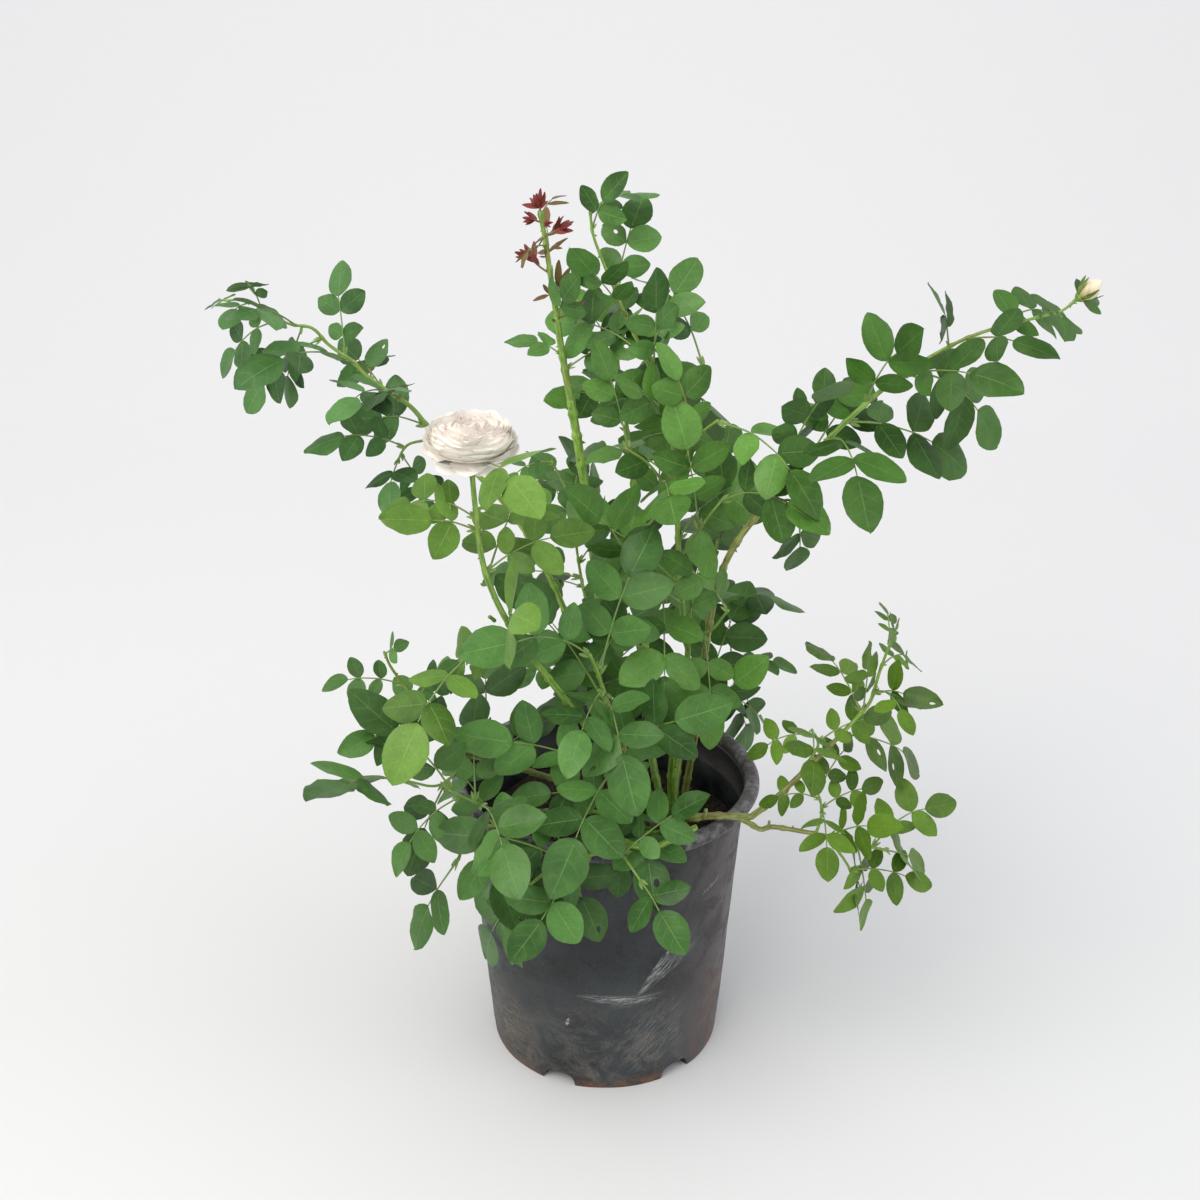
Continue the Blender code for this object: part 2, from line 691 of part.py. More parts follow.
def build_masses(limbs, taken, collection, leaf_green):
    """Stems first, then every stem's leaves in turn, so that no leaf lies where a stem runs."""
    stems, cutters = {}, {}
    for name, (mass, _, _, reaches, *_) in SHOOTS.items():
        limb = limbs[name]
        if mass == name:
            cutters[mass] = new_collection("pieces_" + mass)
            cutters[mass].hide_render = True
            stems[mass] = form_object(mass, stem_form(limb, len(reaches) + 2), collection, leaf_green)
            taken.append((mass, False, tree_of(stems[mass])))
        else:
            twig = form_object(name, stem_form(limb, len(reaches) + 2), cutters[mass])
            taken.append((mass, False, tree_of(twig)))
    for name, (mass, _, _, _, radii, first, sizes, spin, seeds) in SHOOTS.items():
        for k, seed in enumerate(seeds):
            leaf = grow_leaf(limbs[name]["path"], k, len(seeds), first, sizes, spin, seed)
            add_leaf(leaf, taken, mass, cutters[mass])
    for mass, stem in stems.items():
        join_all(stem, cutters[mass])


def build_crown(collection, bark):
    """The knob of old wood at the foot of the canes, cut flat where it stands on the soil."""
    draw = random.Random(5)
    form = bmesh.new()
    bmesh.ops.create_icosphere(form, subdivisions=3, radius=CROWN_RADIUS * MM)
    for vert in form.verts:
        vert.co *= 1.0 - 0.09 * draw.random()
    below = bmesh.ops.bisect_plane(
        form,
        geom=list(form.verts) + list(form.edges) + list(form.faces),
        plane_co=(0, 0, 0),
        plane_no=(0, 0, 1),
        clear_inner=True,
    )
    rim = [edge for edge in below["geom_cut"] if isinstance(edge, bmesh.types.BMEdge)]
    bmesh.ops.contextual_create(form, geom=rim)
    face_outwards(form)
    bmesh.ops.translate(form, verts=form.verts, vec=Vector(CROWN) * MM)
    return form_object("crown", form, collection, bark)


# Pot and soil ---------------------------------------------------------------------------------


def body_radius(height):
    return BODY_FOOT_RADIUS + (BODY_TOP_RADIUS - BODY_FOOT_RADIUS) * height / (POT_HEIGHT - LIP_HEIGHT)


def inner_radius(height):
    step = STEP_DEPTH if height > STEP_HEIGHT else 0.0
    return body_radius(height) - WALL + step


def turned(name, profile, collection, material):
    """A Screw round +Z of a profile that runs down its outer side, top to bottom."""
    form = bmesh.new()
    verts = [form.verts.new((radius * MM, 0.0, height * MM)) for radius, height in profile]
    for above, below in zip(verts, verts[1:]):
        form.edges.new((above, below))
    obj = form_object(name, form, collection, material)
    screw = obj.modifiers.new("turn", "SCREW")
    screw.axis = "Z"
    screw.steps = ROUND_STEPS
    screw.render_steps = ROUND_STEPS
    screw.use_merge_vertices = True
    screw.merge_threshold = 0.00001
    return obj


def pot_profile():
    """The wall from its inside step up over the rolled lip and down to the foot."""
    lip_foot = POT_HEIGHT - LIP_HEIGHT
    roll = LIP_HEIGHT / 2
    inner = RIM_RADIUS - LIP_WIDTH
    profile = [(0.0, FLOOR), (inner_radius(FLOOR), FLOOR)]
    profile.append((inner_radius(STEP_HEIGHT), STEP_HEIGHT))
    profile.append((inner_radius(STEP_HEIGHT + 1), STEP_HEIGHT + 2))
    profile.append((inner_radius(lip_foot), lip_foot + 2))
    profile.append((inner + 0.5, POT_HEIGHT - 4.0))
    profile.append((inner + 3.0, POT_HEIGHT - 0.8))
    for k in range(5):
        turn = math.radians(90 - 45 * k)
        radius = RIM_RADIUS - roll + roll * math.cos(turn)
        profile.append((radius, lip_foot + roll + roll * math.sin(turn)))
    profile.append((body_radius(lip_foot) + 1.2, lip_foot - 0.4))
    profile.append((body_radius(lip_foot - 4), lip_foot - 4))
    profile.append((body_radius(1.2) - 0.2, 1.2))
    profile.append((body_radius(0.0) - 1.4, 0.0))
    profile.append((0.0, 0.0))
    return profile


def build_pot(collection, cutters, plastic):
    """The turned pot, with rounded drainage notches cut in its thick foot."""
    pot = turned("pot", pot_profile(), collection, plastic)
    pot = baked(pot)
    weld(pot.data)
    for k in range(NOTCH_COUNT):
        bearing = math.radians(NOTCH_FIRST + 360.0 * k / NOTCH_COUNT)
        form = bmesh.new()
        bmesh.ops.create_cone(
            form, cap_ends=True, segments=20, radius1=1.0, radius2=1.0, depth=2 * NOTCH_DEPTH * MM
        )
        for vert in form.verts:
            vert.co.x = math.copysign(abs(vert.co.x) ** 0.6, vert.co.x)
            vert.co.y = math.copysign(abs(vert.co.y) ** 0.6, vert.co.y)
        cutter = form_object("notch_cutter", form, cutters)
        cutter.scale = (NOTCH_HEIGHT * MM, NOTCH_WIDTH / 2 * MM, 1.0)
        cutter.rotation_euler = (0.0, math.radians(90), bearing)
        reach = BODY_FOOT_RADIUS * MM
        cutter.location = (reach * math.cos(bearing), reach * math.sin(bearing), 0.0)
        cutter.display_type = "WIRE"
        cutter.hide_render = True
        cut = pot.modifiers.new("notch", "BOOLEAN")
        cut.operation = "DIFFERENCE"
        cut.object = cutter
        cut.solver = "EXACT"
    return baked(pot)


def build_soil(collection, earth):
    """A plug of potting soil that fills the pot to a few centimetres under its lip."""
    low = FLOOR + GAP
    profile = [(0.0, SOIL_TOP), (inner_radius(SOIL_TOP) - GAP, SOIL_TOP)]
    profile += [(inner_radius(low) - GAP, low), (0.0, low)]
    soil = baked(turned("soil", profile, collection, earth))
    weld(soil.data)
    return soil


def hip_form(tip, up, radii, length):
    """The swollen green end of a flower stalk."""
    form = bmesh.new()
    bmesh.ops.create_cone(
        form, cap_ends=True, segments=8, radius1=radii[0] * MM, radius2=radii[1] * MM, depth=length * MM
    )
    turn = Vector((0, 0, 1)).rotation_difference(Vector(up)).to_matrix()
    bmesh.ops.rotate(form, verts=form.verts, matrix=turn)
    bmesh.ops.translate(form, verts=form.verts, vec=Vector((tip + up * (GAP + length / 2)) * MM))
    return form


def ball_form(centre, axis, across, tall, segments):
    form = bmesh.new()
    bmesh.ops.create_uvsphere(form, u_segments=segments, v_segments=segments // 2, radius=MM)
    bmesh.ops.scale(form, verts=form.verts, vec=(across, across, tall))
    turn = Vector((0, 0, 1)).rotation_difference(Vector(axis)).to_matrix()
    bmesh.ops.rotate(form, verts=form.verts, matrix=turn)
    bmesh.ops.translate(form, verts=form.verts, vec=Vector(centre * MM))
    return form


def ring_of_blades(centre, axis, count, radius, height, length, rise, spin=0.0):
    """Blades that stand out round an axis and lift by an angle from its square plane."""
    first = unit(np.cross(axis, (0.0, 1.0, 0.2)))
    second = np.cross(axis, first)
    lift = math.radians(rise)
    blades = []
    for k in range(count):
        turn = spin + 2 * math.pi * k / count
        out = first * math.cos(turn) + second * math.sin(turn)
        direction = out * math.cos(lift) + axis * math.sin(lift)
        normal = axis * math.cos(lift) - out * math.sin(lift)
        blades.append((centre + out * radius + axis * height, direction, normal, length))
    return blades


def build_bloom(limbs, collection, cream):
    """The many-petalled bloom on its hip: a flat ball with rings of petals fused to it."""
    tip, up = along(limbs["f_top"]["path"], 1.0)
    axis = unit(np.array(BLOOM_AXIS))
    bloom = form_object("bloom", hip_form(tip, up, (2.6, 6.5), BLOOM_HIP), collection, cream)
    centre = tip + up * (BLOOM_HIP - 2) + axis * BLOOM_RISE
    pieces = new_collection("pieces_bloom")
    pieces.hide_render = True
    form_object("heart", ball_form(centre, axis, BLOOM_HEART, BLOOM_RISE, 12), pieces)
    for ring, (count, radius, height, length, rise) in enumerate(BLOOM_RINGS):
        for blade in ring_of_blades(centre, axis, count, radius, height, length, rise, 0.4 * ring):
            form_object("petal", blade_form(blade, PETAL_OUTLINE, PETAL_THICKNESS), pieces)
    return join_all(bloom, pieces)


def build_bud(limbs, collection, cream):
    """The closed bud at the end of the long right cane, in its ring of sepals."""
    tip, up = along(limbs["d_outer"]["path"], 1.0)
    bud = form_object("bud", hip_form(tip, up, (1.4, 3.6), BUD_HIP), collection, cream)
    pieces = new_collection("pieces_bud")
    pieces.hide_render = True
    centre = tip + up * (BUD_HIP + BUD_LENGTH * 0.36)
    form_object("petals", ball_form(centre, up, BUD_WIDTH / 2, BUD_LENGTH / 2, 10), pieces)
    for blade in ring_of_blades(tip + up * BUD_HIP, up, 5, 1.5, 0.0, 13.0, 20.0):
        form_object("sepal", blade_form(blade, LEAFLET_OUTLINE, 0.08), pieces)
    return join_all(bud, pieces)


def main():
    clear_scene()
    rose = new_collection("rose_bush")
    cutters = new_collection("cutters")
    cutters.hide_render = True
    bark = plain_material("green bark", (0.10, 0.17, 0.05), 0.55)
    leaf_green = plain_material("rose leaf", (0.04, 0.13, 0.035), 0.5)
    plastic = plain_material("black nursery plastic", (0.022, 0.024, 0.027), 0.6)
    earth = plain_material("potting soil", (0.03, 0.02, 0.014), 0.95)
    cream = plain_material("cream petals", (0.80, 0.72, 0.64), 0.6)

    pot = build_pot(rose, cutters, plastic)
    soil = build_soil(rose, earth)
    crown = build_crown(rose, bark)
    limbs = plan_limbs()
    taken = build_canes(limbs, rose, bark)
    bloom = build_bloom(limbs, rose, cream)
    bud = build_bud(limbs, rose, cream)
    taken += [(obj.name, False, tree_of(obj)) for obj in (pot, soil, crown, bloom, bud)]
    build_masses(limbs, taken, rose, leaf_green)


main()
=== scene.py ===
"""A rose bush in a black nursery pot: the finished look of each of its solids, round one frame."""

import functools
import math
import random

import bpy
import numpy as np
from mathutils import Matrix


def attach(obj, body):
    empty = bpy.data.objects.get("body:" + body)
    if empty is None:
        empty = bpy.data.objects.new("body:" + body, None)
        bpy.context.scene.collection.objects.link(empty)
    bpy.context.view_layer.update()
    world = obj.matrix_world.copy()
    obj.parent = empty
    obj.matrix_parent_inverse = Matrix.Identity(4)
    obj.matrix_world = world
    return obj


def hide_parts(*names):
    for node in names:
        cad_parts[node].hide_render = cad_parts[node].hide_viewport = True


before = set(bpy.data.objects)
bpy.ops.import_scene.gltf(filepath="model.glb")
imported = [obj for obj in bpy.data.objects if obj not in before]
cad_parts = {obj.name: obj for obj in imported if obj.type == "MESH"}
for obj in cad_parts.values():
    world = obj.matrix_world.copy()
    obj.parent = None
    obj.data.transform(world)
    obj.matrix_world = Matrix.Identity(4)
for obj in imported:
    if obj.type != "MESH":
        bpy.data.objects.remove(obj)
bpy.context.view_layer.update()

# The view ------------------------------------------------------------------------------------
# A seamless sweep of matt paper under overcast daylight, which reaches the bush from all sides,
# and a camera of moderate length a little above it.


def linear(code):
    """A colour given as an sRGB hex code, in linear light."""
    parts = [int(code[i : i + 2], 16) / 255 for i in (1, 3, 5)]
    return tuple(c / 12.92 if c <= 0.04045 else ((c + 0.055) / 1.055) ** 2.4 for c in parts)


# For some kinds of node: the sockets that a tuple of inputs fills, the output, and the settings
# that most of them have here, which are a smooth step, a mix of two colours and a product.
USUAL = {
    "MapRange": (range(5), 0, {"interpolation_type": "SMOOTHSTEP"}),
    "Mix": ((0, 6, 7), 2, {"data_type": "RGBA"}),
    "Math": (range(3), 0, {"operation": "MULTIPLY"}),
}


def put(tree, kind, inputs, out=None, **settings):
    """Adds a node, or takes one that is there, with its settings, values and links.

    Its inputs are a dict by socket or a tuple in order. Gives its usual output or the one named."""
    node = tree.nodes.new("ShaderNode" + kind) if isinstance(kind, str) else kind
    sockets, usual_out, usual = USUAL.get(kind, ((), 0, {}))
    for key, value in {**usual, **settings}.items():
        setattr(node, key, value)
    for key, value in inputs.items() if isinstance(inputs, dict) else zip(sockets, inputs):
        if isinstance(value, bpy.types.NodeSocket):
            tree.links.new(value, node.inputs[key])
        elif isinstance(value, str):
            node.inputs[key].default_value = (*linear(value), 1.0)
        else:
            node.inputs[key].default_value = value
    return node.outputs[usual_out if out is None else out]


def new_material(name, inputs):
    """A material of one Principled shader with these values, what adds its nodes, and its shader."""
    material = bpy.data.materials.new(name)
    material.use_nodes = True
    shader = material.node_tree.nodes["Principled BSDF"]
    add = functools.partial(put, material.node_tree)
    add(shader, inputs)
    return material, add, shader


def grid_faces(rows, columns, wrap=False):
    """The quads of a grid of points held row by row; wrap joins its last column to its first."""
    row, column = np.meshgrid(np.arange(rows - 1), np.arange(columns - (not wrap)), indexing="ij")
    here, beside = row * columns + column, row * columns + (column + 1) % columns
    return np.stack((here, beside, beside + columns, here + columns), -1).reshape(-1, 4)


def mesh_piece(name, points, faces, materials, uv=None, index=None, values=None):
    """An object from arrays: points in mm, faces in arrays of one size, UV and values by point."""
    mesh = bpy.data.meshes.new(name)
    points = np.asarray(points, float).reshape(-1, 3) / 1000
    faces = faces if isinstance(faces, list) else [faces]
    mesh.from_pydata(points, [], [face for block in faces for face in block.tolist()])
    mesh.shade_smooth()
    for material in materials:
        mesh.materials.append(material)
    if index is not None:
        mesh.polygons.foreach_set("material_index", np.asarray(index, np.int32))
    if uv is not None:
        corners = np.concatenate([block.ravel() for block in faces])
        layer = mesh.uv_layers.new(name="UVMap")
        layer.uv.foreach_set("vector", np.asarray(uv, np.float32).reshape(-1, 2)[corners].ravel())
    for key, value in (values or {}).items():
        held = mesh.attributes.new(key, "FLOAT", "POINT")
        held.data.foreach_set("value", np.asarray(value, np.float32).ravel())
    mesh.validate()
    piece = bpy.data.objects.new(name, mesh)
    bpy.context.scene.collection.objects.link(piece)
    return piece


def sweep_points(width, radius, front, back, height):
    """The sweep's section, a level floor, a quarter turn and a wall, at both ends of its width."""
    turn = np.linspace(0, math.pi / 2, 25)
    y = np.concatenate([[-front], back + radius * np.sin(turn), [back + radius]])
    z = np.concatenate([[0.0], radius * (1 - np.cos(turn)), [height]])
    return np.array([[(-width / 2, a, b), (width / 2, a, b)] for a, b in zip(y, z)])


# Matt paper with a grain of about 1 mm, a little paler up the wall, where less light falls.
paper, add, shader = new_material("matt backdrop paper", {"Roughness": 0.9})
where = add("TexCoord", {}, "Object")
up_wall = add("SeparateXYZ", {"Vector": where}, "Y")
up_wall = add("MapRange", (up_wall, 0.0, 2.6), interpolation_type="LINEAR")
colour = add("Mix", (up_wall, "#dfe0e1", "#fbfbfc"))
grain = add("TexNoise", {"Vector": where, "Scale": 1000 / 1.1})
relief = add("Bump", {"Height": grain, "Strength": 0.05, "Distance": 0.0003})
add(shader, {"Base Color": colour, "Normal": relief})
section = sweep_points(width=16000, radius=2500, front=6000, back=2600, height=7000)
sweep = mesh_piece("floor_sweep", section, grid_faces(len(section), 2), [paper])

lens = bpy.data.cameras.new("camera")
lens.lens = 42.0
lens.sensor_width = 36.0
camera = bpy.data.objects.new("camera", lens)
camera.location = (0.0, -1.2058, 0.9639)
camera.rotation_euler = (math.radians(90 - 22.256), 0.0, math.radians(0.253))
bpy.context.scene.collection.objects.link(camera)
bpy.context.scene.camera = camera

world = bpy.data.worlds.new("overcast daylight")
world.use_nodes = True
sky = world.node_tree.nodes["Background"]
sky.inputs["Color"].default_value = (0.985, 0.99, 1.0, 1.0)
sky.inputs["Strength"].default_value = 0.77
bpy.context.scene.world = world
bpy.context.scene.view_settings.view_transform = "Standard"


def soft_light(name, place, aim, size, watts, colour):
    """A square area light at a place, turned to face a point, both in metres."""
    lamp = bpy.data.lights.new(name, "AREA")
    lamp.size, lamp.energy, lamp.color = size, watts, linear(colour)
    light = bpy.data.objects.new(name, lamp)
    light.location = place
    away = np.array(place) - np.array(aim)
    tilt = math.atan2(math.hypot(away[0], away[1]), away[2])
    light.rotation_euler = (tilt, 0.0, math.atan2(away[1], away[0]) + math.pi / 2)
    bpy.context.scene.collection.objects.link(light)


soft_light("high key", (-1.2, -1.5, 2.6), (0.0, 0.0, 0.45), size=2.2, watts=62.0, colour="#fffaf4")
soft_light("right fill", (2.2, -0.8, 1.5), (0.0, 0.0, 0.4), size=1.8, watts=12.0, colour="#f6f8ff")

# The pot -------------------------------------------------------------------------------------
# A tapered nursery pot, moulded in black recycled polyethylene: a thin wall under a rolled lip,
# one step inside, and a foot with six drainage notches. Long use has greyed and scuffed it.
# Its sizes are in mm, and the bearing of its first notch is in degrees.
POT_HEIGHT, RIM_RADIUS, LIP_WIDTH, LIP_HEIGHT = 291.0, 150.0, 15.0, 13.0
BODY_TOP_RADIUS, BODY_FOOT_RADIUS, WALL, FLOOR = 136.5, 116.2, 3.0, 16.0
NOTCH_WIDTH, NOTCH_HEIGHT, NOTCH_DEPTH, NOTCH_FIRST = 33.0, 13.0, 13.0, 247.0
STEP_HEIGHT, SOIL_TOP = 252.0, 225.0


def full_turn(count):
    """So many bearings evenly round a circle, in radians."""
    return np.linspace(0, 2 * math.pi, count, endpoint=False)


def body_radius(height):
    """The outer wall's radius, which grows evenly from the foot to the lip."""
    return BODY_FOOT_RADIUS + (BODY_TOP_RADIUS - BODY_FOOT_RADIUS) * height / (POT_HEIGHT - LIP_HEIGHT)


def notch_roof(turn):
    """How high the notches cut the foot at each bearing: their height × (1 - |d|^2.6)^0.45."""
    step = math.pi / 3
    off = (turn - math.radians(NOTCH_FIRST) + step / 2) % step - step / 2
    d = np.minimum(np.abs(BODY_FOOT_RADIUS * np.sin(off) / (NOTCH_WIDTH / 2)), 1)
    return NOTCH_HEIGHT * (1 - d**2.6) ** 0.45


def pot_surface(columns=420):
    """The pot: a profile of radius and height carried round +Z, its foot lifted by the notches.

    The radius also wanders by a third of a millimetre, as slow sines of bearing and height."""
    turn = full_turn(columns)
    lip, roll = POT_HEIGHT - LIP_HEIGHT, LIP_HEIGHT / 2
    rows = [(0.0, FLOOR), (60.0, FLOOR), (body_radius(FLOOR) - WALL - 3, FLOOR)]
    rows += [(body_radius(h) - WALL, h) for h in np.linspace(FLOOR + 3, STEP_HEIGHT, 12)]
    rows += [(body_radius(STEP_HEIGHT + 2) - WALL + 2.4, STEP_HEIGHT + 1.6)]
    rows += [(body_radius(lip) - WALL + 2.5, lip + 1.5)]
    inner = RIM_RADIUS - LIP_WIDTH
    rows += [(inner + r, POT_HEIGHT - h) for r, h in ((0.3, 7), (0.8, 3.6), (2.4, 1.1), (4.6, 0.25))]
    for over in np.radians(np.linspace(90, -78, 13)):
        rows.append((RIM_RADIUS - roll + roll * math.cos(over), lip + roll + roll * math.sin(over)))
    groove = ((0, 2.6, 0.1), (0, 1.2, 0.5), (2, 0.9, 2), (4, 0.9, 4.5), (6, 0, 5.6))
    rows += [(body_radius(lip - under) + out, lip - down) for under, out, down in groove]
    rows += [(body_radius(h), h) for h in np.linspace(lip - 9, FLOOR + 4, 30)]
    rows = np.array(rows)
    ones = np.ones(columns)
    roof = notch_roof(turn)
    foot = [roof + (FLOOR + 1.5 - roof) * part for part in (1.0, 0.6, 0.25)]
    foot = [(body_radius(h), h) for h in foot]
    foot += [((BODY_FOOT_RADIUS - 0.3) * ones, roof + 0.5), ((BODY_FOOT_RADIUS - 1.3) * ones, roof)]
    foot += [((BODY_FOOT_RADIUS - NOTCH_DEPTH) * ones, roof)]
    foot += [((BODY_FOOT_RADIUS - NOTCH_DEPTH - 0.6) * ones, 0 * ones), (0 * ones, 0 * ones)]
    radius = np.vstack([rows[:, :1] * ones] + [r for r, _ in foot])
    height = np.vstack([rows[:, 1:] * ones] + [h for _, h in foot])
    shake = 0.35 * np.sin(2 * turn + 0.6) + 0.25 * np.sin(5 * turn + height / 31)
    shake = shake + 0.16 * np.sin(9 * turn - height / 17) + 0.1 * np.sin(17 * turn + height / 9)
    radius = radius + shake * np.clip(radius / 40, 0, 1)
    points = np.stack((radius * np.cos(turn), radius * np.sin(turn), height), -1)
    return points, grid_faces(len(radius), columns, wrap=True)[:, ::-1]


def patches(add, where, size_mm, low, high, most=1.0, detail=2.0, roughness=0.5, distortion=0.0):
    """Cloudy patches so many mm across: noise that rises from none at low to the most at high."""
    cloud = {"Vector": where, "Scale": 1000 / size_mm, "Detail": detail}
    cloud = add("TexNoise", cloud | {"Roughness": roughness, "Distortion": distortion})
    return add("MapRange", (cloud, low, high, 0.0, most))


# Weathered black polyethylene: a blue-grey bloom in patches some 70 mm across, brown dust and
# pale specks toward the foot, rust-coloured soil stains on its edge, and rubbed scuffs, with a
# painted pinkish reflection on its right side.
plastic, add, shader = new_material("weathered black polyethylene", {"Specular IOR Level": 0.4})
where = add("TexCoord", {}, "Object")
left_right, height = (add("SeparateXYZ", {"Vector": where}, axis) for axis in "XZ")
colour = add("Mix", (patches(add, where, 70, 0.35, 0.7, detail=5.0), "#1d2123", "#31383b"))
dust = patches(add, where, 28, 0.42, 0.66, 1.0, 8.0, 0.72, 0.8)
low = add("MapRange", (height, 0.0, 0.17, 1.0, 0.0))
dust_low = add("Math", (dust, low))
# Painted reflection: a pinkish sheen painted into the colour across the pot's right (+X) flank.
painted_sheen_right = add("MapRange", (left_right, 0.05, 0.13, 0.0, 0.6))
rust_line = add("MapRange", (height, 0.002, 0.014, 1.0, 0.0))
rust_right = add("Math", (add("MapRange", (left_right, 0.07, 0.115, 0.0, 0.7)), low))
rust = add("Math", (rust_line, rust_right), operation="MAXIMUM")
rust = add("Math", (rust, patches(add, where, 20, 0.4, 0.62, 1.0, 8.0, 0.65)))
# Runs of dried water are drawn out up the wall; the specks are of 1.2 mm and gather in the dust.
runs = add("Mapping", {"Vector": where, "Scale": (9.0, 9.0, 1.6)})
runs = patches(add, runs, 1000 / 26, 0.6, 0.76, 0.45, 6.0, 0.75, 0.5)
specks = patches(add, where, 1.2, 0.62, 0.76)
thick_low = add("MapRange", (height, 0.0, 0.2, 0.9, 0.12), interpolation_type="LINEAR")
clumps = add("MapRange", (dust, 0.0, 1.0, 0.3, 1.0), interpolation_type="LINEAR")
specks = add("Math", (add("Math", (specks, thick_low)), clumps))
layers = ((dust_low, "#5b5751"), (painted_sheen_right, "#5a5052"), (rust, "#6f4833"))
for mask, tint in (*layers, (runs, "#6b7072"), (specks, "#93938f")):
    colour = add("Mix", (mask, colour, tint))
# Scuffs show through fine strokes, level ones or ones that lean as the long marks do.
level = add("Mapping", {"Vector": where, "Scale": (0.9, 0.9, 8.0)})
leaning = {"Vector": where, "Rotation": (0.0, math.radians(-47), 0.0), "Scale": (1.1, 1.1, 0.1)}
leaning = add("Mapping", leaning, vector_type="TEXTURE")
strokes = [patches(add, run, 1000 / 60, 0.46, 0.62, 1.0, 9.0, 0.82, 1.2) for run in (level, leaning)]
# Each mark: its middle and half size in metres, its lean in degrees, its colour and strength.
for place, half, lean, tint, strength in (
    ((-0.098, -0.075, 0.045), (0.035, 0.06, 0.06), 0, "#7d6f5e", 1.2),
    ((-0.030, -0.118, 0.060), (0.05, 0.06, 0.03), 20, "#5d6062", 0.7),
    ((0.012, -0.122, 0.112), (0.042, 0.06, 0.006), 6, "#b4b5b3", 1.5),
    ((0.030, -0.120, 0.108), (0.03, 0.06, 0.007), -6, "#8d8e8c", 1.1),
    ((0.054, -0.112, 0.149), (0.044, 0.06, 0.0045), -56, "#b0b1af", 2.4),
    ((0.059, -0.112, 0.146), (0.044, 0.06, 0.005), -48, "#9b9d9c", 2.0),
    ((0.064, -0.112, 0.141), (0.042, 0.06, 0.005), -38, "#8f9190", 1.8),
    ((0.100, -0.085, 0.215), (0.014, 0.06, 0.002), -28, "#a6a8a7", 2.0),
    ((0.050, -0.110, 0.060), (0.06, 0.06, 0.05), -40, "#7d7d7c", 0.9),
    ((-0.036, -0.116, 0.081), (0.0018, 0.02, 0.007), 12, "#cfcfcb", 2.6),
):
    turned = {"Vector": where, "Location": place, "Rotation": (0.0, math.radians(lean), 0.0)}
    mark = add("Mapping", turned | {"Scale": half}, vector_type="TEXTURE")
    mark = add("TexGradient", {"Vector": mark}, "Fac", gradient_type="SPHERICAL")
    mark = add("Math", (add("Math", (mark, strength), use_clamp=True), strokes[lean < -20]))
    colour = add("Mix", (mark, colour, tint))
# The lip is rubbed pale on top. Just under it a band of painted shade darkens the wall, and a
# painted highlight runs as a pale line along its lower edge.
rubbed = patches(add, where, 13, 0.42, 0.66, 1.0, 8.0, 0.7)
rubbed = add("Math", (rubbed, add("MapRange", (height, 0.277, 0.288, 0.0, 0.8))))
# Painted shade: a dark band on the wall just under the lip's overhang, where its shadow would fall.
painted_lip_shade = add("MapRange", (height, 0.255, 0.275, 0.0, 0.55))
painted_lip_shade = add("Math", (painted_lip_shade, add("MapRange", (height, 0.2785, 0.277))))
# Painted highlight: a thin pale line along the lip's lower edge, about 279 mm up.
off_edge = add("Math", (height, 0.2792), operation="SUBTRACT")
off_edge = add("Math", (off_edge,), operation="ABSOLUTE")
edge = add("MapRange", (off_edge, 0.0004, 0.0014, 0.7, 0.0))
# The inner wall, nearer the axis than the outer one and under the lip, is cleaner and darker.
flat = add("VectorMath", {0: where, 1: (1.0, 1.0, 0.0)}, operation="MULTIPLY")
reach = add("VectorMath", {0: flat}, "Value", operation="LENGTH")
taper = (BODY_TOP_RADIUS - BODY_FOOT_RADIUS) / (POT_HEIGHT - LIP_HEIGHT)
past_wall = add("Math", (height, -taper, reach), operation="MULTIPLY_ADD")
inside = add("MapRange", (past_wall, 0.1145, 0.1152, 1.0, 0.0))
inside = add("Math", (inside, add("MapRange", (height, 0.276, 0.284, 1.0, 0.0))))
cleaner = add("Mix", (dust, "#17191c", "#2b2f33"))
for mask, tint in ((rubbed, "#8c8d91"), (painted_lip_shade, "#151718"), (edge, "#85878a"), (inside, cleaner)):
    colour = add("Mix", (mask, colour, tint))
dull = add("MapRange", (dust, 0.0, 1.0, 0.4, 0.72), interpolation_type="LINEAR")
skin = add("TexNoise", {"Vector": where, "Scale": 1000 / 5, "Detail": 8.0, "Roughness": 0.7})
relief = add("Bump", {"Height": skin, "Distance": 0.0006, "Strength": 0.5})
add(shader, {"Base Color": colour, "Roughness": dull, "Normal": relief})

points, faces = pot_surface()
pot = mesh_piece("pot_moulding", points, faces, [plastic])
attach(pot, "root")
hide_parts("pot")

# The soil ------------------------------------------------------------------------------------
# Loose potting mix of composted bark and peat, settled a few centimetres under the lip and
# crumbled by watering, with chips of dry bark lying on it.


def crumbs(x, y):
    """Height of the loose surface: sines of x and y at ever finer pitch, bent by one another."""
    total = np.zeros_like(x)
    for k, (pitch, size) in enumerate(((61, 2.2), (29, 1.6), (13, 1.3), (7.1, 1.0), (3.9, 0.6))):
        a, b = 1.7 * k + 0.4, 2.9 * k + 1.1
        total += size * np.sin(x / pitch * 3.1 + a + 1.3 * np.sin(y / pitch * 2.3 + b))
        total += size * np.sin(y / pitch * 2.7 + b + 1.1 * np.sin(x / pitch * 3.3 - a))
    return SOIL_TOP - 2.5 + 0.55 * total


def soil_surface(rings=64, columns=200):
    """A disc over radius and bearing at the height of the crumbs, turned down at its edge."""
    edge = body_radius(SOIL_TOP) - WALL - 0.5
    out = edge * np.linspace(0, 1, rings)[:, None] ** 0.8
    turn = full_turn(columns)[None]
    x, y = out * np.cos(turn), out * np.sin(turn)
    points = np.stack((x, y, crumbs(x, y) + 3.0 * (out / edge) ** 6), -1)
    skirt = points[-1:] - (0.0, 0.0, 14.0)
    return np.vstack((points, skirt)), grid_faces(rings + 1, columns, wrap=True)[:, ::-1]


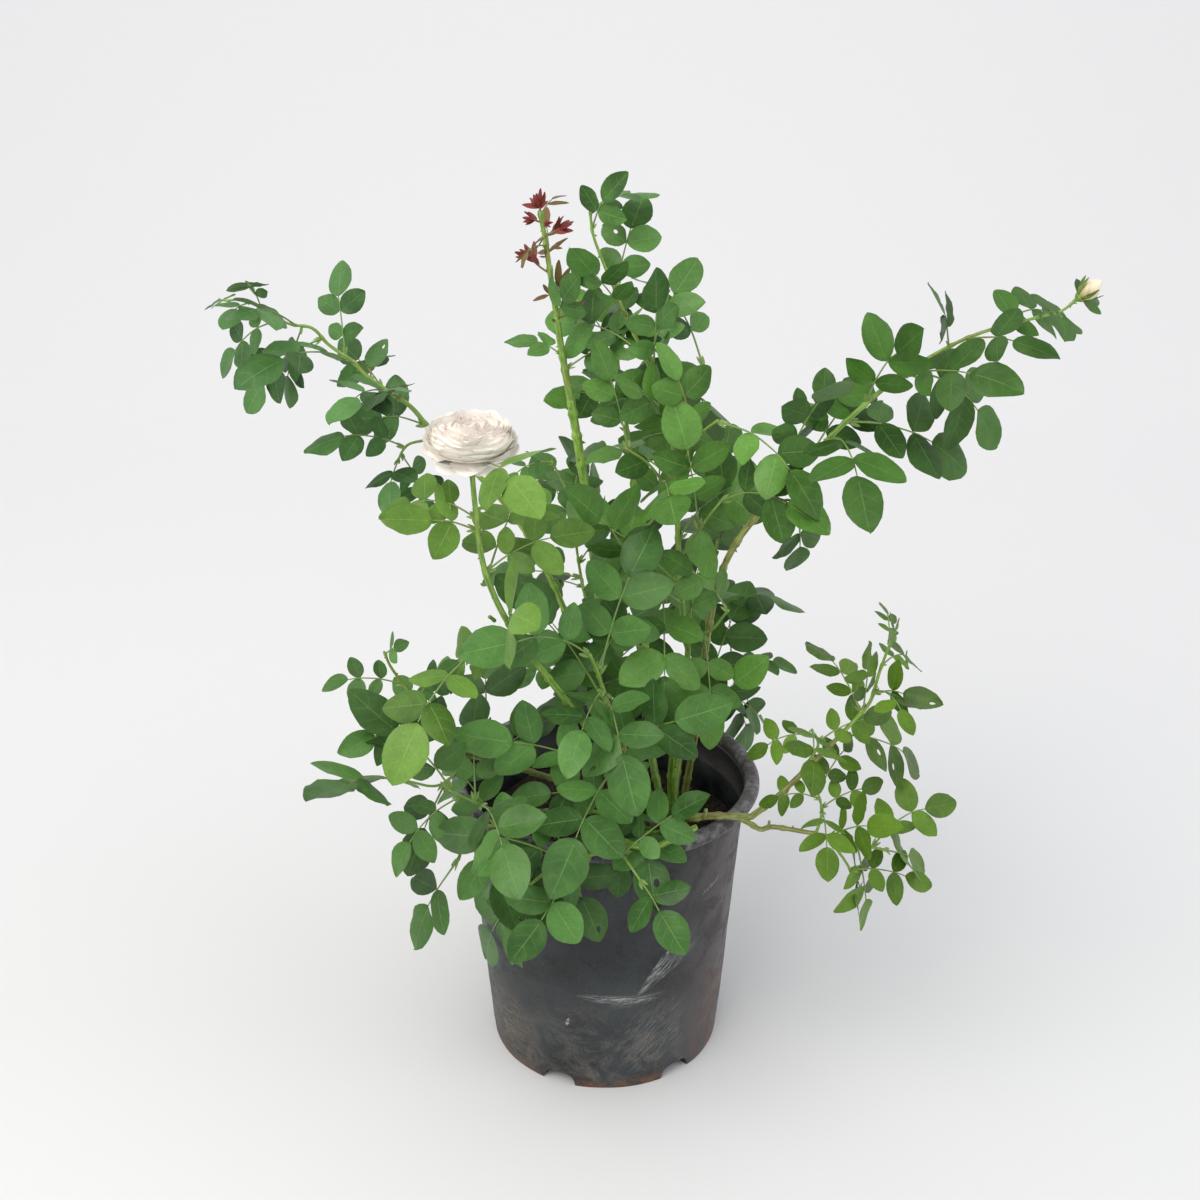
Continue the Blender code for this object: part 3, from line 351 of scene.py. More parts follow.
def lumps(count, seed):
    """Chips: balls of four rings, squeezed, roughened, turned and strewn evenly over the disc."""
    draw = np.random.default_rng(seed)
    out = (body_radius(SOIL_TOP) - WALL - 7) * np.sqrt(draw.random((count, 1)))
    turn, spin = draw.random((2, count, 1)) * 2 * math.pi
    x, y = out * np.cos(turn), out * np.sin(turn)
    size = draw.uniform(1.4, 4.2, (count, 1, 1))
    size = size * draw.uniform((0.5, 0.5, 0.25), (1.5, 1, 0.6), (count, 3))[:, None]
    rise = np.radians((90, 40, -15, -70))[:, None]
    around = full_turn(6)[None]
    wide = np.cos(rise)
    ball = np.broadcast_arrays(wide * np.cos(around), wide * np.sin(around), np.sin(rise))
    ball = np.stack(ball, -1).reshape(1, 24, 3) * draw.uniform(0.75, 1.15, (count, 24, 1)) * size
    across = ball[..., 0] * np.cos(spin) - ball[..., 1] * np.sin(spin)
    beside = ball[..., 0] * np.sin(spin) + ball[..., 1] * np.cos(spin)
    points = np.stack((across + x, beside + y, ball[..., 2] + crumbs(x, y) + 0.3), -1)
    faces = grid_faces(4, 6, wrap=True)[None, :, ::-1] + 24 * np.arange(count)[:, None, None]
    return points, faces.reshape(-1, 4)


# Each crumb material: its dark, its light, its flecks, and the size of its grain in mm.
mixes = []
for name, dark, light, fleck, grain_mm in (
    ("moist bark and peat potting mix", "#17120d", "#33281f", "#584a3a", 11.0),
    ("dry bark chips", "#261d15", "#4d3b2b", "#6b5945", 6.0),
):
    mix, add, shader = new_material(name, {"Roughness": 0.95})
    where = add("TexCoord", {}, "Object")
    colour = add("Mix", (patches(add, where, grain_mm, 0.35, 0.7, 1.0, 8.0, 0.7), dark, light))
    colour = add("Mix", (patches(add, where, 2.4, 0.6, 0.72, detail=4.0), colour, fleck))
    fine = add("TexNoise", {"Vector": where, "Scale": 1000 / 3, "Detail": 10.0, "Roughness": 0.75})
    relief = add("Bump", {"Height": fine, "Distance": 0.0015, "Strength": 0.9})
    add(shader, {"Base Color": colour, "Normal": relief})
    mixes.append(mix)

points, faces = soil_surface()
soil = mesh_piece("soil_surface", points, faces, mixes[:1])
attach(soil, "root")
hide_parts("soil")
points, faces = lumps(count=900, seed=4)
chips = mesh_piece("bark_chips", points, faces, mixes[1:])
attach(chips, "root")

# The canes -----------------------------------------------------------------------------------
# Thirteen canes of different ages rise from one knobbly crown, and one of them forks. Their bark
# is smooth and green with swollen joints where leaves were, and browner on the oldest wood.
GAP = 0.3
CROWN, CROWN_RADIUS = (58.0, 2.0, SOIL_TOP + GAP), 22.0
# Every reach is a length in mm, a bearing from +X and a rise above the level in degrees.
# A cane: what it grows from, where (bearing and rise on the crown, or fraction of the limb),
# its reaches, and its radii at foot and tip in mm.
CANES = {
    "cane_a": (
        "crown", (160, 58), ((56, 144, 69), (141, 169, 77), (138, 163, 82), (81, 165, 81)), (5.6, 3.9),
    ),
    "cane_b": ("crown", (-38, 68), ((57, -95, 85), (56, -21, 80), (66, -19, 87)), (3.8, 3.0)),
    "cane_c": ("crown", (98, 52), ((66, 106, 52), (91, 98, 71), (183, 113, 78)), (4.2, 2.8)),
    "cane_d": (
        "crown", (8, 42), ((86, -3, 83), (146, -70, 78), (73, -26, 73), (89, -11, 54)), (3.8, 2.7),
    ),
    "cane_e": ("crown", (170, 24), ((108, 139, 65), (198, 168, 67), (138, 176, 49)), (3.6, 2.4)),
    "cane_f": ("crown", (-140, 50), ((90, -126, 54), (115, -132, 54), (95, -146, 56)), (4.0, 2.8)),
    "cane_g": ("crown", (-166, 17), ((84, -144, 42), (96, -141, 34), (69, -155, 27)), (3.6, 2.4)),
    "cane_h": ("crown", (-98, 16), ((69, -119, 26), (65, -103, 33), (34, -108, 6)), (3.4, 2.3)),
    "cane_i": ("crown", (-50, 18), ((96, -87, 37), (22, -17, 20), (33, -2, 0)), (4.4, 3.2)),
    "cane_j": ("crown", (-132, 16), ((89, -141, 33), (73, -131, 24), (46, -138, 7)), (3.4, 2.3)),
    "cane_k": ("crown", (128, 20), ((90, 110, 26), (99, 115, 53)), (3.6, 2.4)),
    "cane_l": ("crown", (62, 22), ((84, 79, 36), (104, 69, 50)), (3.6, 2.4)),
    "cane_m": ("crown", (-88, 46), ((67, -123, 44), (66, -118, 62), (57, -131, 69)), (3.4, 2.2)),
    "fork_i_up": ("cane_i", 1.0, ((39, -18, 48), (73, -8, 52)), (3.0, 2.1)),
    "fork_i_down": ("cane_i", 0.93, ((12, -11, -25), (14, -18, 20), (48, -7, -7)), (2.6, 1.9)),
}

# A shoot: what it grows from, at which fraction, its reaches and radii, the fraction of its first
# leaf, the end leaflet's length at foot and tip, the turn of the first leaf, a seed for each leaf.
# Most side shoots have the radii SIDE.
SIDE = (1.5, 1.0)
SHOOTS = {
    "a_top": (
        "cane_a", 1.0, ((46, 173, 80), (53, 172, 82), (44, 171, 82), (24, 180, 80)), (3.6, 1.9), 0.12,
        (38, 20), 210, (103, 176, 49, 124, 27, 36),
    ),
    "a_side": ("cane_a", 0.66, ((51, -151, 66), (31, -147, 63)), SIDE, 0.5, (36, 32), 240, (269, 113)),
    "b_mid": (
        "cane_b", 1.0, ((26, 167, 80), (69, 138, 83), (49, 107, 82), (64, 145, 84)), (2.9, 2.3), 0.08,
        (42, 42), 240, (97, 9, 299, 53, 128),
    ),
    "b_top": (
        "b_mid", 1.0, ((28, 149, 74), (44, 169, 63), (51, 164, 64), (55, 169, 67), (25, 154, 80)),
        (2.2, 1.1), 0.1, (44, 32), 30, (309, 300, 198, 45, 284, 84, 158),
    ),
    "b_high_right": ("b_mid", 0.8, ((52, -48, 56), (24, -35, 43)), SIDE, 0.5, (44, 42), 0, (287, 20)),
    "b_high_left": (
        "b_mid", 0.66, ((50, -149, 56), (31, -163, 39)), SIDE, 0.4, (42, 40), 90, (226, 254),
    ),
    "b_upper_right": ("b_top", 0.1, ((29, 33, 35), (21, 26, 48)), SIDE, 0.5, (40, 38), 210, (263, 155)),
    "b_mid_right": ("b_mid", 0.42, ((57, -46, 56), (26, -32, 55)), SIDE, 0.4, (44, 42), 0, (270, 3)),
    "b_mid_left": ("b_mid", 0.22, ((50, -132, 37), (33, -143, 38)), SIDE, 0.4, (42, 42), 90, (155, 32)),
    "b_low_right": ("b_mid", 0.1, ((35, -54, 15), (36, -46, 51)), SIDE, 0.4, (46, 42), 180, (141, 158)),
    "b_low_left": (
        "cane_b", 0.78, ((33, -128, 18), (33, -131, 51)), SIDE, 0.5, (40, 40), 240, (303, 11),
    ),
    "b_foot": ("cane_b", 0.66, ((23, -57, 15), (15, -44, 12)), SIDE, 0.7, (44, 44), 0, (29,)),
    "c_top": (
        "cane_c", 1.0, ((50, 158, 82), (60, -154, 81)), (2.5, 1.4), 0.15, (44, 38), 150,
        (244, 76, 99, 258, 94),
    ),
    "c_left": ("cane_c", 0.72, ((39, 130, -3), (33, 153, 46)), SIDE, 0.4, (44, 42), 30, (179, 75, 24)),
    "c_right": ("cane_c", 0.8, ((55, 54, 25), (38, 33, 46)), SIDE, 0.4, (44, 42), 60, (192, 22, 35)),
    "c_low": ("cane_c", 0.45, ((35, 98, -18), (40, 112, 36)), SIDE, 0.4, (44, 42), 60, (87, 172, 221)),
    "d_inner": (
        "cane_d", 1.0, ((17, -5, 47), (38, -12, 51), (60, -8, 45)), (2.6, 2.0), 0.02, (44, 50), 300,
        (270, 20, 192, 215, 28),
    ),
    "d_outer": (
        "d_inner", 1.0, ((60, -5, 31), (52, -4, 18), (22, -6, 16), (15, -10, 40)), (1.9, 1.0), 0.06,
        (50, 26), 210, (3, 23, 213, 57, 11, 23),
    ),
    "d_left": ("cane_d", 0.93, ((31, 54, 69), (21, 131, 76)), SIDE, 0.3, (38, 34), 90, (211, 209)),
    "d_low": ("cane_d", 0.88, ((34, -61, 25), (16, -51, -38)), SIDE, 0.6, (42, 42), 180, (23,)),
    "e_inner": (
        "cane_e", 1.0, ((28, 178, 50), (37, 178, 34), (27, 177, 46)), (2.3, 1.8), 0.05, (42, 40), 0,
        (49, 54, 213, 14),
    ),
    "e_outer": (
        "e_inner", 1.0, ((24, 177, 35), (21, -180, 47), (23, 178, 11), (39, 178, 29), (20, -180, 4)),
        (1.7, 0.9), 0.08, (42, 24), 240, (4, 144, 252, 154, 95, 59),
    ),
    "e_fork": ("cane_e", 0.97, ((25, -165, -9), (17, -156, -52)), SIDE, 0.5, (42, 40), 30, (23,)),
    "f_top": (
        "cane_f", 1.0, ((43, -155, 65), (39, -149, 73), (49, -121, 82), (30, -120, 85)), (2.7, 2.1),
        0.1, (42, 42), 90, (313, 193, 205, 184),
    ),
    "f_left": ("cane_f", 0.96, ((23, -156, -1), (21, -160, 8)), SIDE, 0.4, (42, 42), 270, (18, 14)),
    "g_top": (
        "cane_g", 1.0, ((34, -171, 54), (32, -157, 66), (33, -170, 60), (17, -159, 71)), (2.2, 1.0),
        0.08, (36, 20), 270, (185, 198, 290, 55, 23),
    ),
    "g_left": ("cane_g", 0.93, ((37, -131, -17), (31, -161, 18)), SIDE, 0.35, (44, 58), 0, (220, 271)),
    "g_mid": ("cane_g", 0.72, ((23, 180, 53), (21, 180, 55)), SIDE, 0.4, (44, 42), 150, (17, 134)),
    "h_low": (
        "cane_h", 1.0, ((42, -163, -6), (34, -160, -30)), (2.1, 1.3), 0.2, (48, 54), 30, (40, 18, 87),
    ),
    "h_right": ("cane_h", 0.92, ((21, -58, -17), (19, -34, -47)), SIDE, 0.4, (44, 48), 300, (59, 7)),
    "i_up": (
        "fork_i_up", 1.0, ((29, -6, 54), (20, -10, 59), (30, -21, 79), (38, -13, 76)), (2.0, 1.0), 0.05,
        (42, 24), 210, (34, 84, 262, 218, 297),
    ),
    "i_up_side": ("fork_i_up", 0.55, ((29, -34, 65), (19, -149, 65)), SIDE, 0.5, (30, 32), 90, (291,)),
    "i_down": (
        "fork_i_down", 1.0, ((19, -18, -7), (32, -11, -8)), (1.8, 1.1), 0.2, (42, 46), 60, (28, 104),
    ),
    "i_down_up": (
        "fork_i_down", 0.85, ((24, -60, 77), (23, -157, 76)), SIDE, 0.4, (28, 28), 90, (20, 11),
    ),
    "i_down_low": (
        "fork_i_down", 0.98, ((24, -30, -47), (12, -37, -55)), SIDE, 0.6, (34, 36), 210, (36,),
    ),
    "j_low": (
        "cane_j", 1.0, ((26, -161, -4), (26, -127, -51)), (2.1, 1.3), 0.1, (46, 50), 270,
        (164, 88, 228),
    ),
    "j_up": ("cane_j", 0.92, ((45, -154, 36), (24, -147, 40)), SIDE, 0.3, (44, 44), 120, (20, 32)),
    "j_front": ("cane_j", 0.62, ((45, -101, 6), (18, -119, -20)), SIDE, 0.5, (44, 46), 210, (94, 42)),
    "k_top": (
        "cane_k", 1.0, ((77, 113, 55), (55, 115, 69)), (2.2, 1.2), 0.1, (46, 40), 90,
        (319, 192, 103, 3, 8),
    ),
    "k_side": ("cane_k", 0.6, ((27, 133, 40), (43, 126, 30)), SIDE, 0.3, (44, 42), 180, (231, 34, 13)),
    "l_top": (
        "cane_l", 1.0, ((75, 74, 62), (53, 78, 67)), (2.2, 1.2), 0.1, (46, 40), 60,
        (243, 116, 22, 284, 124),
    ),
    "l_side": ("cane_l", 0.55, ((32, 42, 28), (46, 56, 24)), SIDE, 0.3, (44, 42), 60, (41, 107, 19)),
    "m_top": (
        "cane_m", 1.0, ((41, -132, 71), (29, -144, 68)), (2.1, 1.4), 0.1, (46, 46), 330,
        (9, 107, 232, 3),
    ),
    "m_low": (
        "cane_m", 0.62, ((38, -122, 28), (20, -135, 32)), SIDE, 0.4, (46, 48), 60, (211, 144, 140),
    ),
    "m_right": ("cane_m", 0.4, ((38, -103, 25), (18, -114, 10)), SIDE, 0.5, (40, 40), 150, (75, 11)),
}
# The shoots that are part of another one's mass.
MASS_OF = dict.fromkeys(
    ("b_high_right", "b_high_left", "b_mid_right", "b_mid_left", "b_low_right"), "b_mid"
) | {"b_upper_right": "b_top"}


def unit(vector):
    """The vector, or each vector of an array, brought to length 1."""
    return vector / np.linalg.norm(vector, axis=-1, keepdims=True)


def heading(bearing, rise):
    """Unit vector at a bearing from +X and a rise above the level, both in degrees."""
    turn, lift = math.radians(bearing), math.radians(rise)
    level = math.cos(lift)
    return np.array((math.cos(turn) * level, math.sin(turn) * level, math.sin(lift)))


def walk(start, reaches):
    """The points reached by walking each length on its bearing and rise."""
    steps = [length * heading(bearing, rise) for length, bearing, rise in reaches]
    return start + np.cumsum([np.zeros(3)] + steps, axis=0)


def smooth_path(points, steps=8):
    """A cubic through the points, its slope at each taken from the points beside it."""
    ends = np.array(points, float)
    ends = np.vstack([2 * ends[0] - ends[1], ends, 2 * ends[-1] - ends[-2]])
    a, b, c, d = (ends[i : len(ends) - 3 + i, None] for i in range(4))
    t = (np.arange(steps) / steps)[None, :, None]
    bend, twist = 2 * a - 5 * b + 4 * c - d, -a + 3 * b - 3 * c + d
    curve = 0.5 * (2 * b + (c - a) * t + bend * t**2 + twist * t**3)
    return np.vstack([curve.reshape(-1, 3), ends[-2]])


def along(path, fraction):
    """The point and the direction at this fraction of a path's length."""
    steps = np.linalg.norm(np.diff(path, axis=0), axis=1)
    marks = np.append(0, np.cumsum(steps)) / steps.sum()
    i = max(min(int(np.searchsorted(marks, fraction, side="right")) - 1, len(steps) - 1), 0)
    part = (fraction - marks[i]) / (marks[i + 1] - marks[i])
    return path[i] + (path[i + 1] - path[i]) * part, unit(path[i + 1] - path[i])


def start_of(limbs, parent, at, direction, radius, twig=False):
    """Where a limb starts, and a point inside what bears it, where it joins.

    It starts just clear of what bears it, or as a twig of the same mass at the bearer's middle."""
    if parent == "crown":
        out = heading(*at)
        lean = math.sqrt(max(0.0, 1 - (out @ direction) ** 2))
        crown = np.array(CROWN)
        return crown + out * (CROWN_RADIUS + GAP + radius * lean), crown + out * CROWN_RADIUS * 0.7
    point, tangent = along(limbs[parent]["path"], at)
    slant = abs(tangent @ direction)
    if at >= 0.999:
        lean = math.sqrt(max(0.0, 1 - slant**2))
        return point + tangent * (GAP + radius * lean), point - tangent
    foot, tip = limbs[parent]["radii"]
    thick = foot + (tip - foot) * at
    clear = (thick + radius * slant) / math.sqrt(max(0.05, 1 - slant**2)) + GAP
    return (point if twig else point + direction * clear), point


def plan_limbs():
    """Every cane's and stem's path, in the order in which they grow from one another."""
    limbs = {}
    for name, (parent, at, reaches, radii, *_) in {**CANES, **SHOOTS}.items():
        ahead = heading(*reaches[0][1:])
        start, joint = start_of(limbs, parent, at, ahead, radii[0], name in MASS_OF)
        limbs[name] = {"path": smooth_path(walk(start, reaches)), "radii": radii, "joint": joint}
    return limbs


def distances(path):
    """The distance of each of a path's points from its foot."""
    return np.append(0, np.cumsum(np.linalg.norm(np.diff(path, axis=0), axis=1)))


def spaced(path, spacing):
    """The path's points at even spacing, and each one's distance from the foot."""
    marks = distances(path)
    at = np.linspace(0, marks[-1], max(int(round(marks[-1] / spacing)), 3) + 1)
    return np.stack([np.interp(at, marks, path[:, i]) for i in range(3)], 1), at


# A direction that no limb follows, from which every limb's own sides are taken.
ASKEW = (0.31, 0.95, 0.05)


def frames(points):
    """At each point the direction, and two directions square to it and to each other."""
    ahead = unit(np.gradient(points, axis=0))
    across = unit(np.cross(ahead, ASKEW))
    return ahead, across, np.cross(ahead, across)


def tube(path, foot, tip, columns=12, spacing=2.5, joints=(), rough=0.03, cap=1.0):
    """A round limb: circles carried along a path, their radius running evenly from foot to tip.

    The radius swells by a bell curve at each joint, with a groove behind it, and wanders by slow
    sines of turn and length. The end is closed by two smaller rings."""
    points, at = spaced(path, spacing)
    ahead, across, beside = frames(points)
    turn = full_turn(columns)[None]
    length = at[:, None]
    radius = foot + (tip - foot) * length / at[-1]
    past = length - np.array(joints, float)[None] if len(joints) else np.full((1, 1), 99.0)
    swell = 0.22 * np.exp(-((past / 2.4) ** 2)) - 0.07 * np.exp(-(((past - 4.5) / 1.6) ** 2))
    radius = radius + foot * swell.sum(1, keepdims=True)
    wander = np.sin(3 * turn + length / 31) + 0.7 * np.sin(5 * turn - length / 17 + 1.0)
    radius = radius * (1 + rough * wander)
    out = np.cos(turn)[..., None] * across[:, None] + np.sin(turn)[..., None] * beside[:, None]
    rings = points[:, None] + radius[..., None] * out
    wide, tip_ahead = rings[-1] - points[-1], ahead[-1] * cap
    ends = [points[-1] + wide * part + tip_ahead * rise for part, rise in ((0.75, 1), (0, 1.3))]
    rings = np.concatenate((rings, np.array(ends)))
    length = np.append(at, (at[-1], at[-1]))[:, None] / 1000
    uv = np.stack(np.broadcast_arrays(turn / (2 * math.pi), length), -1)
    return rings.reshape(-1, 3), grid_faces(len(rings), columns, wrap=True), uv.reshape(-1, 2)


def merged(shapes):
    """Shapes of points, faces and UV as one, and the number of the shape that each face is of."""
    starts = np.cumsum([0] + [len(shape[0]) for shape in shapes])
    faces = np.concatenate([shape[1] + start for shape, start in zip(shapes, starts)])
    owner = np.repeat(np.arange(len(shapes)), [len(shape[1]) for shape in shapes])
    return np.concatenate([s[0] for s in shapes]), faces, np.concatenate([s[2] for s in shapes]), owner


def bark_material(name, light, dark, pore, flush, flushed):
    """Living rose bark: fine lengthwise streaks, pale pores, and patches reddened by the sun."""
    material, add, shader = new_material(name, {"Roughness": 0.42})
    where = add("TexCoord", {}, "Object")
    streaks = add("Mapping", {"Vector": add("TexCoord", {}, "UV"), "Scale": (9.0, 60.0, 1.0)})
    streaks = add("TexNoise", {"Vector": streaks, "Scale": 1.0, "Detail": 5.0})
    colour = add("Mix", (add("MapRange", (streaks, 0.35, 0.65)), dark, light))
    colour = add("Mix", (patches(add, where, 36, 0.5, 0.7, flushed, 4.0), colour, flush))
    colour = add("Mix", (patches(add, where, 2.6, 0.64, 0.72, 0.6, 3.0), colour, pore))
    relief = add("Bump", {"Height": streaks, "Distance": 0.0005, "Strength": 0.5})
    add(shader, {"Base Color": colour, "Normal": relief})
    return material


green_bark = bark_material("young green cane bark", "#8fb349", "#618a2d", "#b0ad78", "#7a6a34", 0.22)
olive_bark = bark_material("ageing olive cane bark", "#98a052", "#68703a", "#a99a70", "#6a4a30", 0.4)
brown_bark = bark_material("old brown cane bark", "#6b5a3c", "#3a3023", "#8d7a5c", "#47301f", 0.7)
barks = [green_bark, olive_bark, brown_bark]
OLDER = ("cane_i", "fork_i_up", "fork_i_down", "cane_d", "cane_k", "cane_g")
limbs = plan_limbs()
shapes, bark_index = [], []
for number, name in enumerate(CANES):
    limb, draw = limbs[name], random.Random(number)
    path = np.vstack((limb["joint"], limb["path"]))
    length = distances(path)[-1]
    joints = np.cumsum([draw.uniform(16, 34) for _ in range(int(length / 22))])
    columns = 20 if name == "cane_a" else 14
    joints = joints[joints < length - 6]
    shapes.append(tube(path, *limb["radii"], columns, spacing=2.2, joints=joints))
    bark_index.append(int(name in OLDER))
# Cut stubs: the points of each in mm, its radii at foot and tip, and its bark.
for points, radii, bark in (
    (
        ((9, -139, 300), (24, -154, 302), (43, -155, 301), (60, -148, 305), (80, -137, 310)),
        (3.3, 2.6), 0,
    ),
    (((88, -101, 297), (90, -105, 302), (91, -106, 309)), (2.2, 1.3), 1),
    (((147, -107, 290), (148, -110, 296), (148, -111, 300)), (1.8, 1.2), 1),
    (((-96, -95, 490), (-98, -103, 496), (-99, -108, 499)), (1.9, 1.3), 0),
):
    shapes.append(tube(smooth_path(points), *radii, spacing=2.2, joints=(14, 39), cap=0.8))
    bark_index.append(bark)
points, faces, uv, owner = merged(shapes)
canes = mesh_piece("canes", points, faces, barks, uv, np.array(bark_index)[owner])
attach(canes, "root")
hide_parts(*CANES)


def knob(rings=30, columns=40):
    """The crown: a dome over rise and bearing, gnarled by products of sines, sunk in the soil."""
    rise = np.radians(np.linspace(-35, 90, rings))[:, None]
    turn = full_turn(columns)[None]
    gnarl = 1 + 0.07 * np.sin(3 * turn + 2 * rise) * np.cos(4 * rise)
    gnarl = gnarl + 0.05 * np.sin(7 * turn - 5 * rise)
    gnarl = (gnarl + 0.025 * np.sin(13 * turn + 9 * rise)) * CROWN_RADIUS * 0.96
    out = np.cos(rise) * gnarl
    points = np.stack((out * np.cos(turn), out * np.sin(turn), np.sin(rise) * gnarl), -1)
    return points.reshape(-1, 3) + np.array(CROWN), grid_faces(rings, columns, wrap=True)


points, faces = knob()
crown = mesh_piece("crown_wood", points, faces, [brown_bark], points[:, :2] / 100)
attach(crown, "root")
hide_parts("crown")

# The prickles --------------------------------------------------------------------------------
# Flattened hooks of the bark itself, broad at the foot and bent a little down the cane. They
# stand close on the one stout cane and are few on the others.


def prickles(roots, outs, aheads, sizes, rings=5, columns=6):
    """Hooks: ellipses that shrink as (1 - t)^1.3 along a line that bends down the cane as t²."""
    t = np.linspace(0, 1, rings)[None, :, None, None]
    turn = full_turn(columns)[None, None, :, None]
    root, out, ahead = (np.asarray(a)[:, None, None] for a in (roots, outs, aheads))
    size = np.asarray(sizes)[:, None, None, None]
    middle = root + out * (t * size - 0.3) - ahead * size * 0.45 * t**2
    shrink = size * (1 - t) ** 1.3
    ring = ahead * np.cos(turn) * 0.5 + np.cross(ahead, out) * np.sin(turn) * 0.2
    points = middle + ring * shrink
    count = len(roots)
    faces = grid_faces(rings, columns, wrap=True)[:, ::-1]
    faces = faces[None] + rings * columns * np.arange(count)[:, None, None]
    uv = np.concatenate(np.broadcast_arrays(t, turn / 6.3), -1)
    uv = np.broadcast_to(uv, (count, rings, columns, 2))
    return points.reshape(-1, 3), faces.reshape(-1, 4), uv.reshape(-1, 2)


def prickle_places(limb, pitch, sizes, draw):
    """Places for prickles up a limb, at an uneven pitch and in uneven turns round it."""
    points, at = spaced(limb["path"], 2.0)
    ahead, across, beside = frames(points)
    foot, tip = limb["radii"]
    places, mark, turn = [], draw.uniform(2, pitch), draw.uniform(0, 6)
    while mark < at[-1] - 2:
        i = min(int(mark / 2.0), len(points) - 1)
        out = across[i] * math.cos(turn) + beside[i] * math.sin(turn)
        radius = foot + (tip - foot) * mark / at[-1]
        places.append((points[i] + out * radius, out, ahead[i], draw.uniform(*sizes)))
        mark += pitch * draw.uniform(0.4, 1.7)
        turn += draw.uniform(1.4, 2.9)
    return places


# Prickle bark: olive at the foot and straw at the tip, with reddish patches.
thorn, add, shader = new_material("dry prickle bark", {"Roughness": 0.4})
from_foot = add("SeparateXYZ", {"Vector": add("TexCoord", {}, "UV")}, "X")
reddened = patches(add, add("TexCoord", {}, "Object"), 16, 0.4, 0.65)
colour = add("Mix", (from_foot, "#7c8a3e", "#b59a62"))
colour = add("Mix", (reddened, colour, "#7a4030"))
relief = add("Bump", {"Height": reddened, "Distance": 0.0003, "Strength": 0.4})
add(shader, {"Base Color": colour, "Normal": relief})
# How far apart the prickles stand on a limb, and how long they are, both in mm. Shoots that are
# thinner than SMOOTH_RADIUS bear none.
SMOOTH_RADIUS = 1.8
PITCHES = {"cane_a": (11.0, (2.6, 4.6)), "a_top": (15.0, (1.6, 2.6)), "cane_d": (14.0, (2.2, 3.6))}
places, draw = [], random.Random(31)
for name, limb in limbs.items():
    if name in CANES or limb["radii"][0] > SMOOTH_RADIUS:
        places += prickle_places(limb, *PITCHES.get(name, (22.0, (1.6, 3.0))), draw)
points, faces, uv = prickles(*zip(*places))
prickle_set = mesh_piece("prickles", points, faces, [thorn], uv)
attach(prickle_set, "root")

# The stems and leaf stalks -------------------------------------------------------------------
# Soft green side shoots of this year, and the thin stalk of every leaf: it carries one end
# leaflet and one or two pairs, and has a pair of narrow wings (stipules) at its foot.
TURN = math.radians(144.0)  # from one leaf to the next
PAIR_SIZES = {1: (0.85,), 2: (0.7, 0.88)}  # each pair's length beside the end leaflet's


def leaf_plan(root, direction, size, draw):
    """A leaf's stalk as joints (point, direction, up), and its leaflets by joint and hand."""
    away = np.array((root[0] - CROWN[0], root[1], 0.0))
    away = away / (np.linalg.norm(away) + 40.0)
    wobble = np.array([draw.uniform(-1, 1) for _ in range(3)])
    light = np.array((0.0, -0.42, 0.62)) + away * 0.32 + wobble * 0.34
    sag = math.radians(draw.uniform(5, 22))
    pairs = draw.choice((1, 1, 2, 2, 2, 2, 2))
    steps = [size * draw.uniform(0.5, 0.75)] + [size * 0.62] * (pairs - 1) + [size * 0.36]
    point = np.array(root, float)
    joints = [(point, direction, unit(light - direction * (light @ direction)))]
    leaflets = {}
    for k, step in enumerate(steps, 1):
        point = point + direction * step
        up = unit(light - direction * (light @ direction))
        side = np.cross(up, direction)
        joints.append((point, direction, up))
        for hand in (1, -1) if k <= pairs else (0,):
            if hand:
                spread = math.radians(draw.uniform(56, 76))
                tilt = draw.uniform(-0.45, 0.35)
                out = direction * math.cos(spread) + side * hand * math.sin(spread)
                out = unit(out + up * draw.uniform(-0.3, 0.1))
                face = up + side * hand * tilt + direction * draw.uniform(-0.2, 0.2)
                length = size * PAIR_SIZES[pairs][k - 1] * draw.uniform(0.9, 1.08)
            else:
                out = unit(direction + up * draw.uniform(-0.35, 0.05))
                face = up + side * draw.uniform(-0.3, 0.3)
                length = size * draw.uniform(0.95, 1.08)
            leaflets[k, hand] = (point, out, unit(face - out * (face @ out)), length)
        direction = unit(direction * math.cos(sag) - np.array((0.0, 0.0, math.sin(sag))))
    return joints, leaflets


def grow_leaf(path, k, count, first, sizes, spin, seed):
    """The k-th leaf of a stem, two fifths of a turn round it from the last one."""
    draw = random.Random(seed)
    fraction = first + (0.98 - first) * (k + draw.uniform(-0.3, 0.3)) / max(count - 1, 1)
    if k == count - 1:
        fraction = 0.98
    fraction = min(max(fraction, 0.02), 0.98)
    root, tangent = along(path, fraction)
    across = unit(np.cross(tangent, ASKEW))
    around = math.radians(spin) + k * TURN + draw.uniform(-0.75, 0.75)
    axil = math.radians(draw.uniform(10, 60) if k == count - 1 else draw.uniform(35, 80))
    radial = across * math.cos(around) + np.cross(tangent, across) * math.sin(around)
    direction = tangent * math.cos(axil) + radial * math.sin(axil)
    size = (sizes[0] + (sizes[1] - sizes[0]) * fraction) * draw.uniform(0.82, 1.2)
    return leaf_plan(root, unit(direction), size, draw)


# The tint of each mass's foliage, by where it stands on the bush and how old it is. A mass takes
# it from its own name, or else from its cane's letter.
TINT_OF = {"a": "top", "b": "middle", "c": "middle", "d": "right", "e": "left", "f": "fresh"}
TINT_OF |= {"g": "low", "h": "front", "i": "sunny", "j": "low", "k": "back", "l": "back", "m": "front"}
TINT_OF |= {"b_top": "top", "b_upper_right": "top"}
blades = {tint: [] for tint in sorted(set(TINT_OF.values()))}
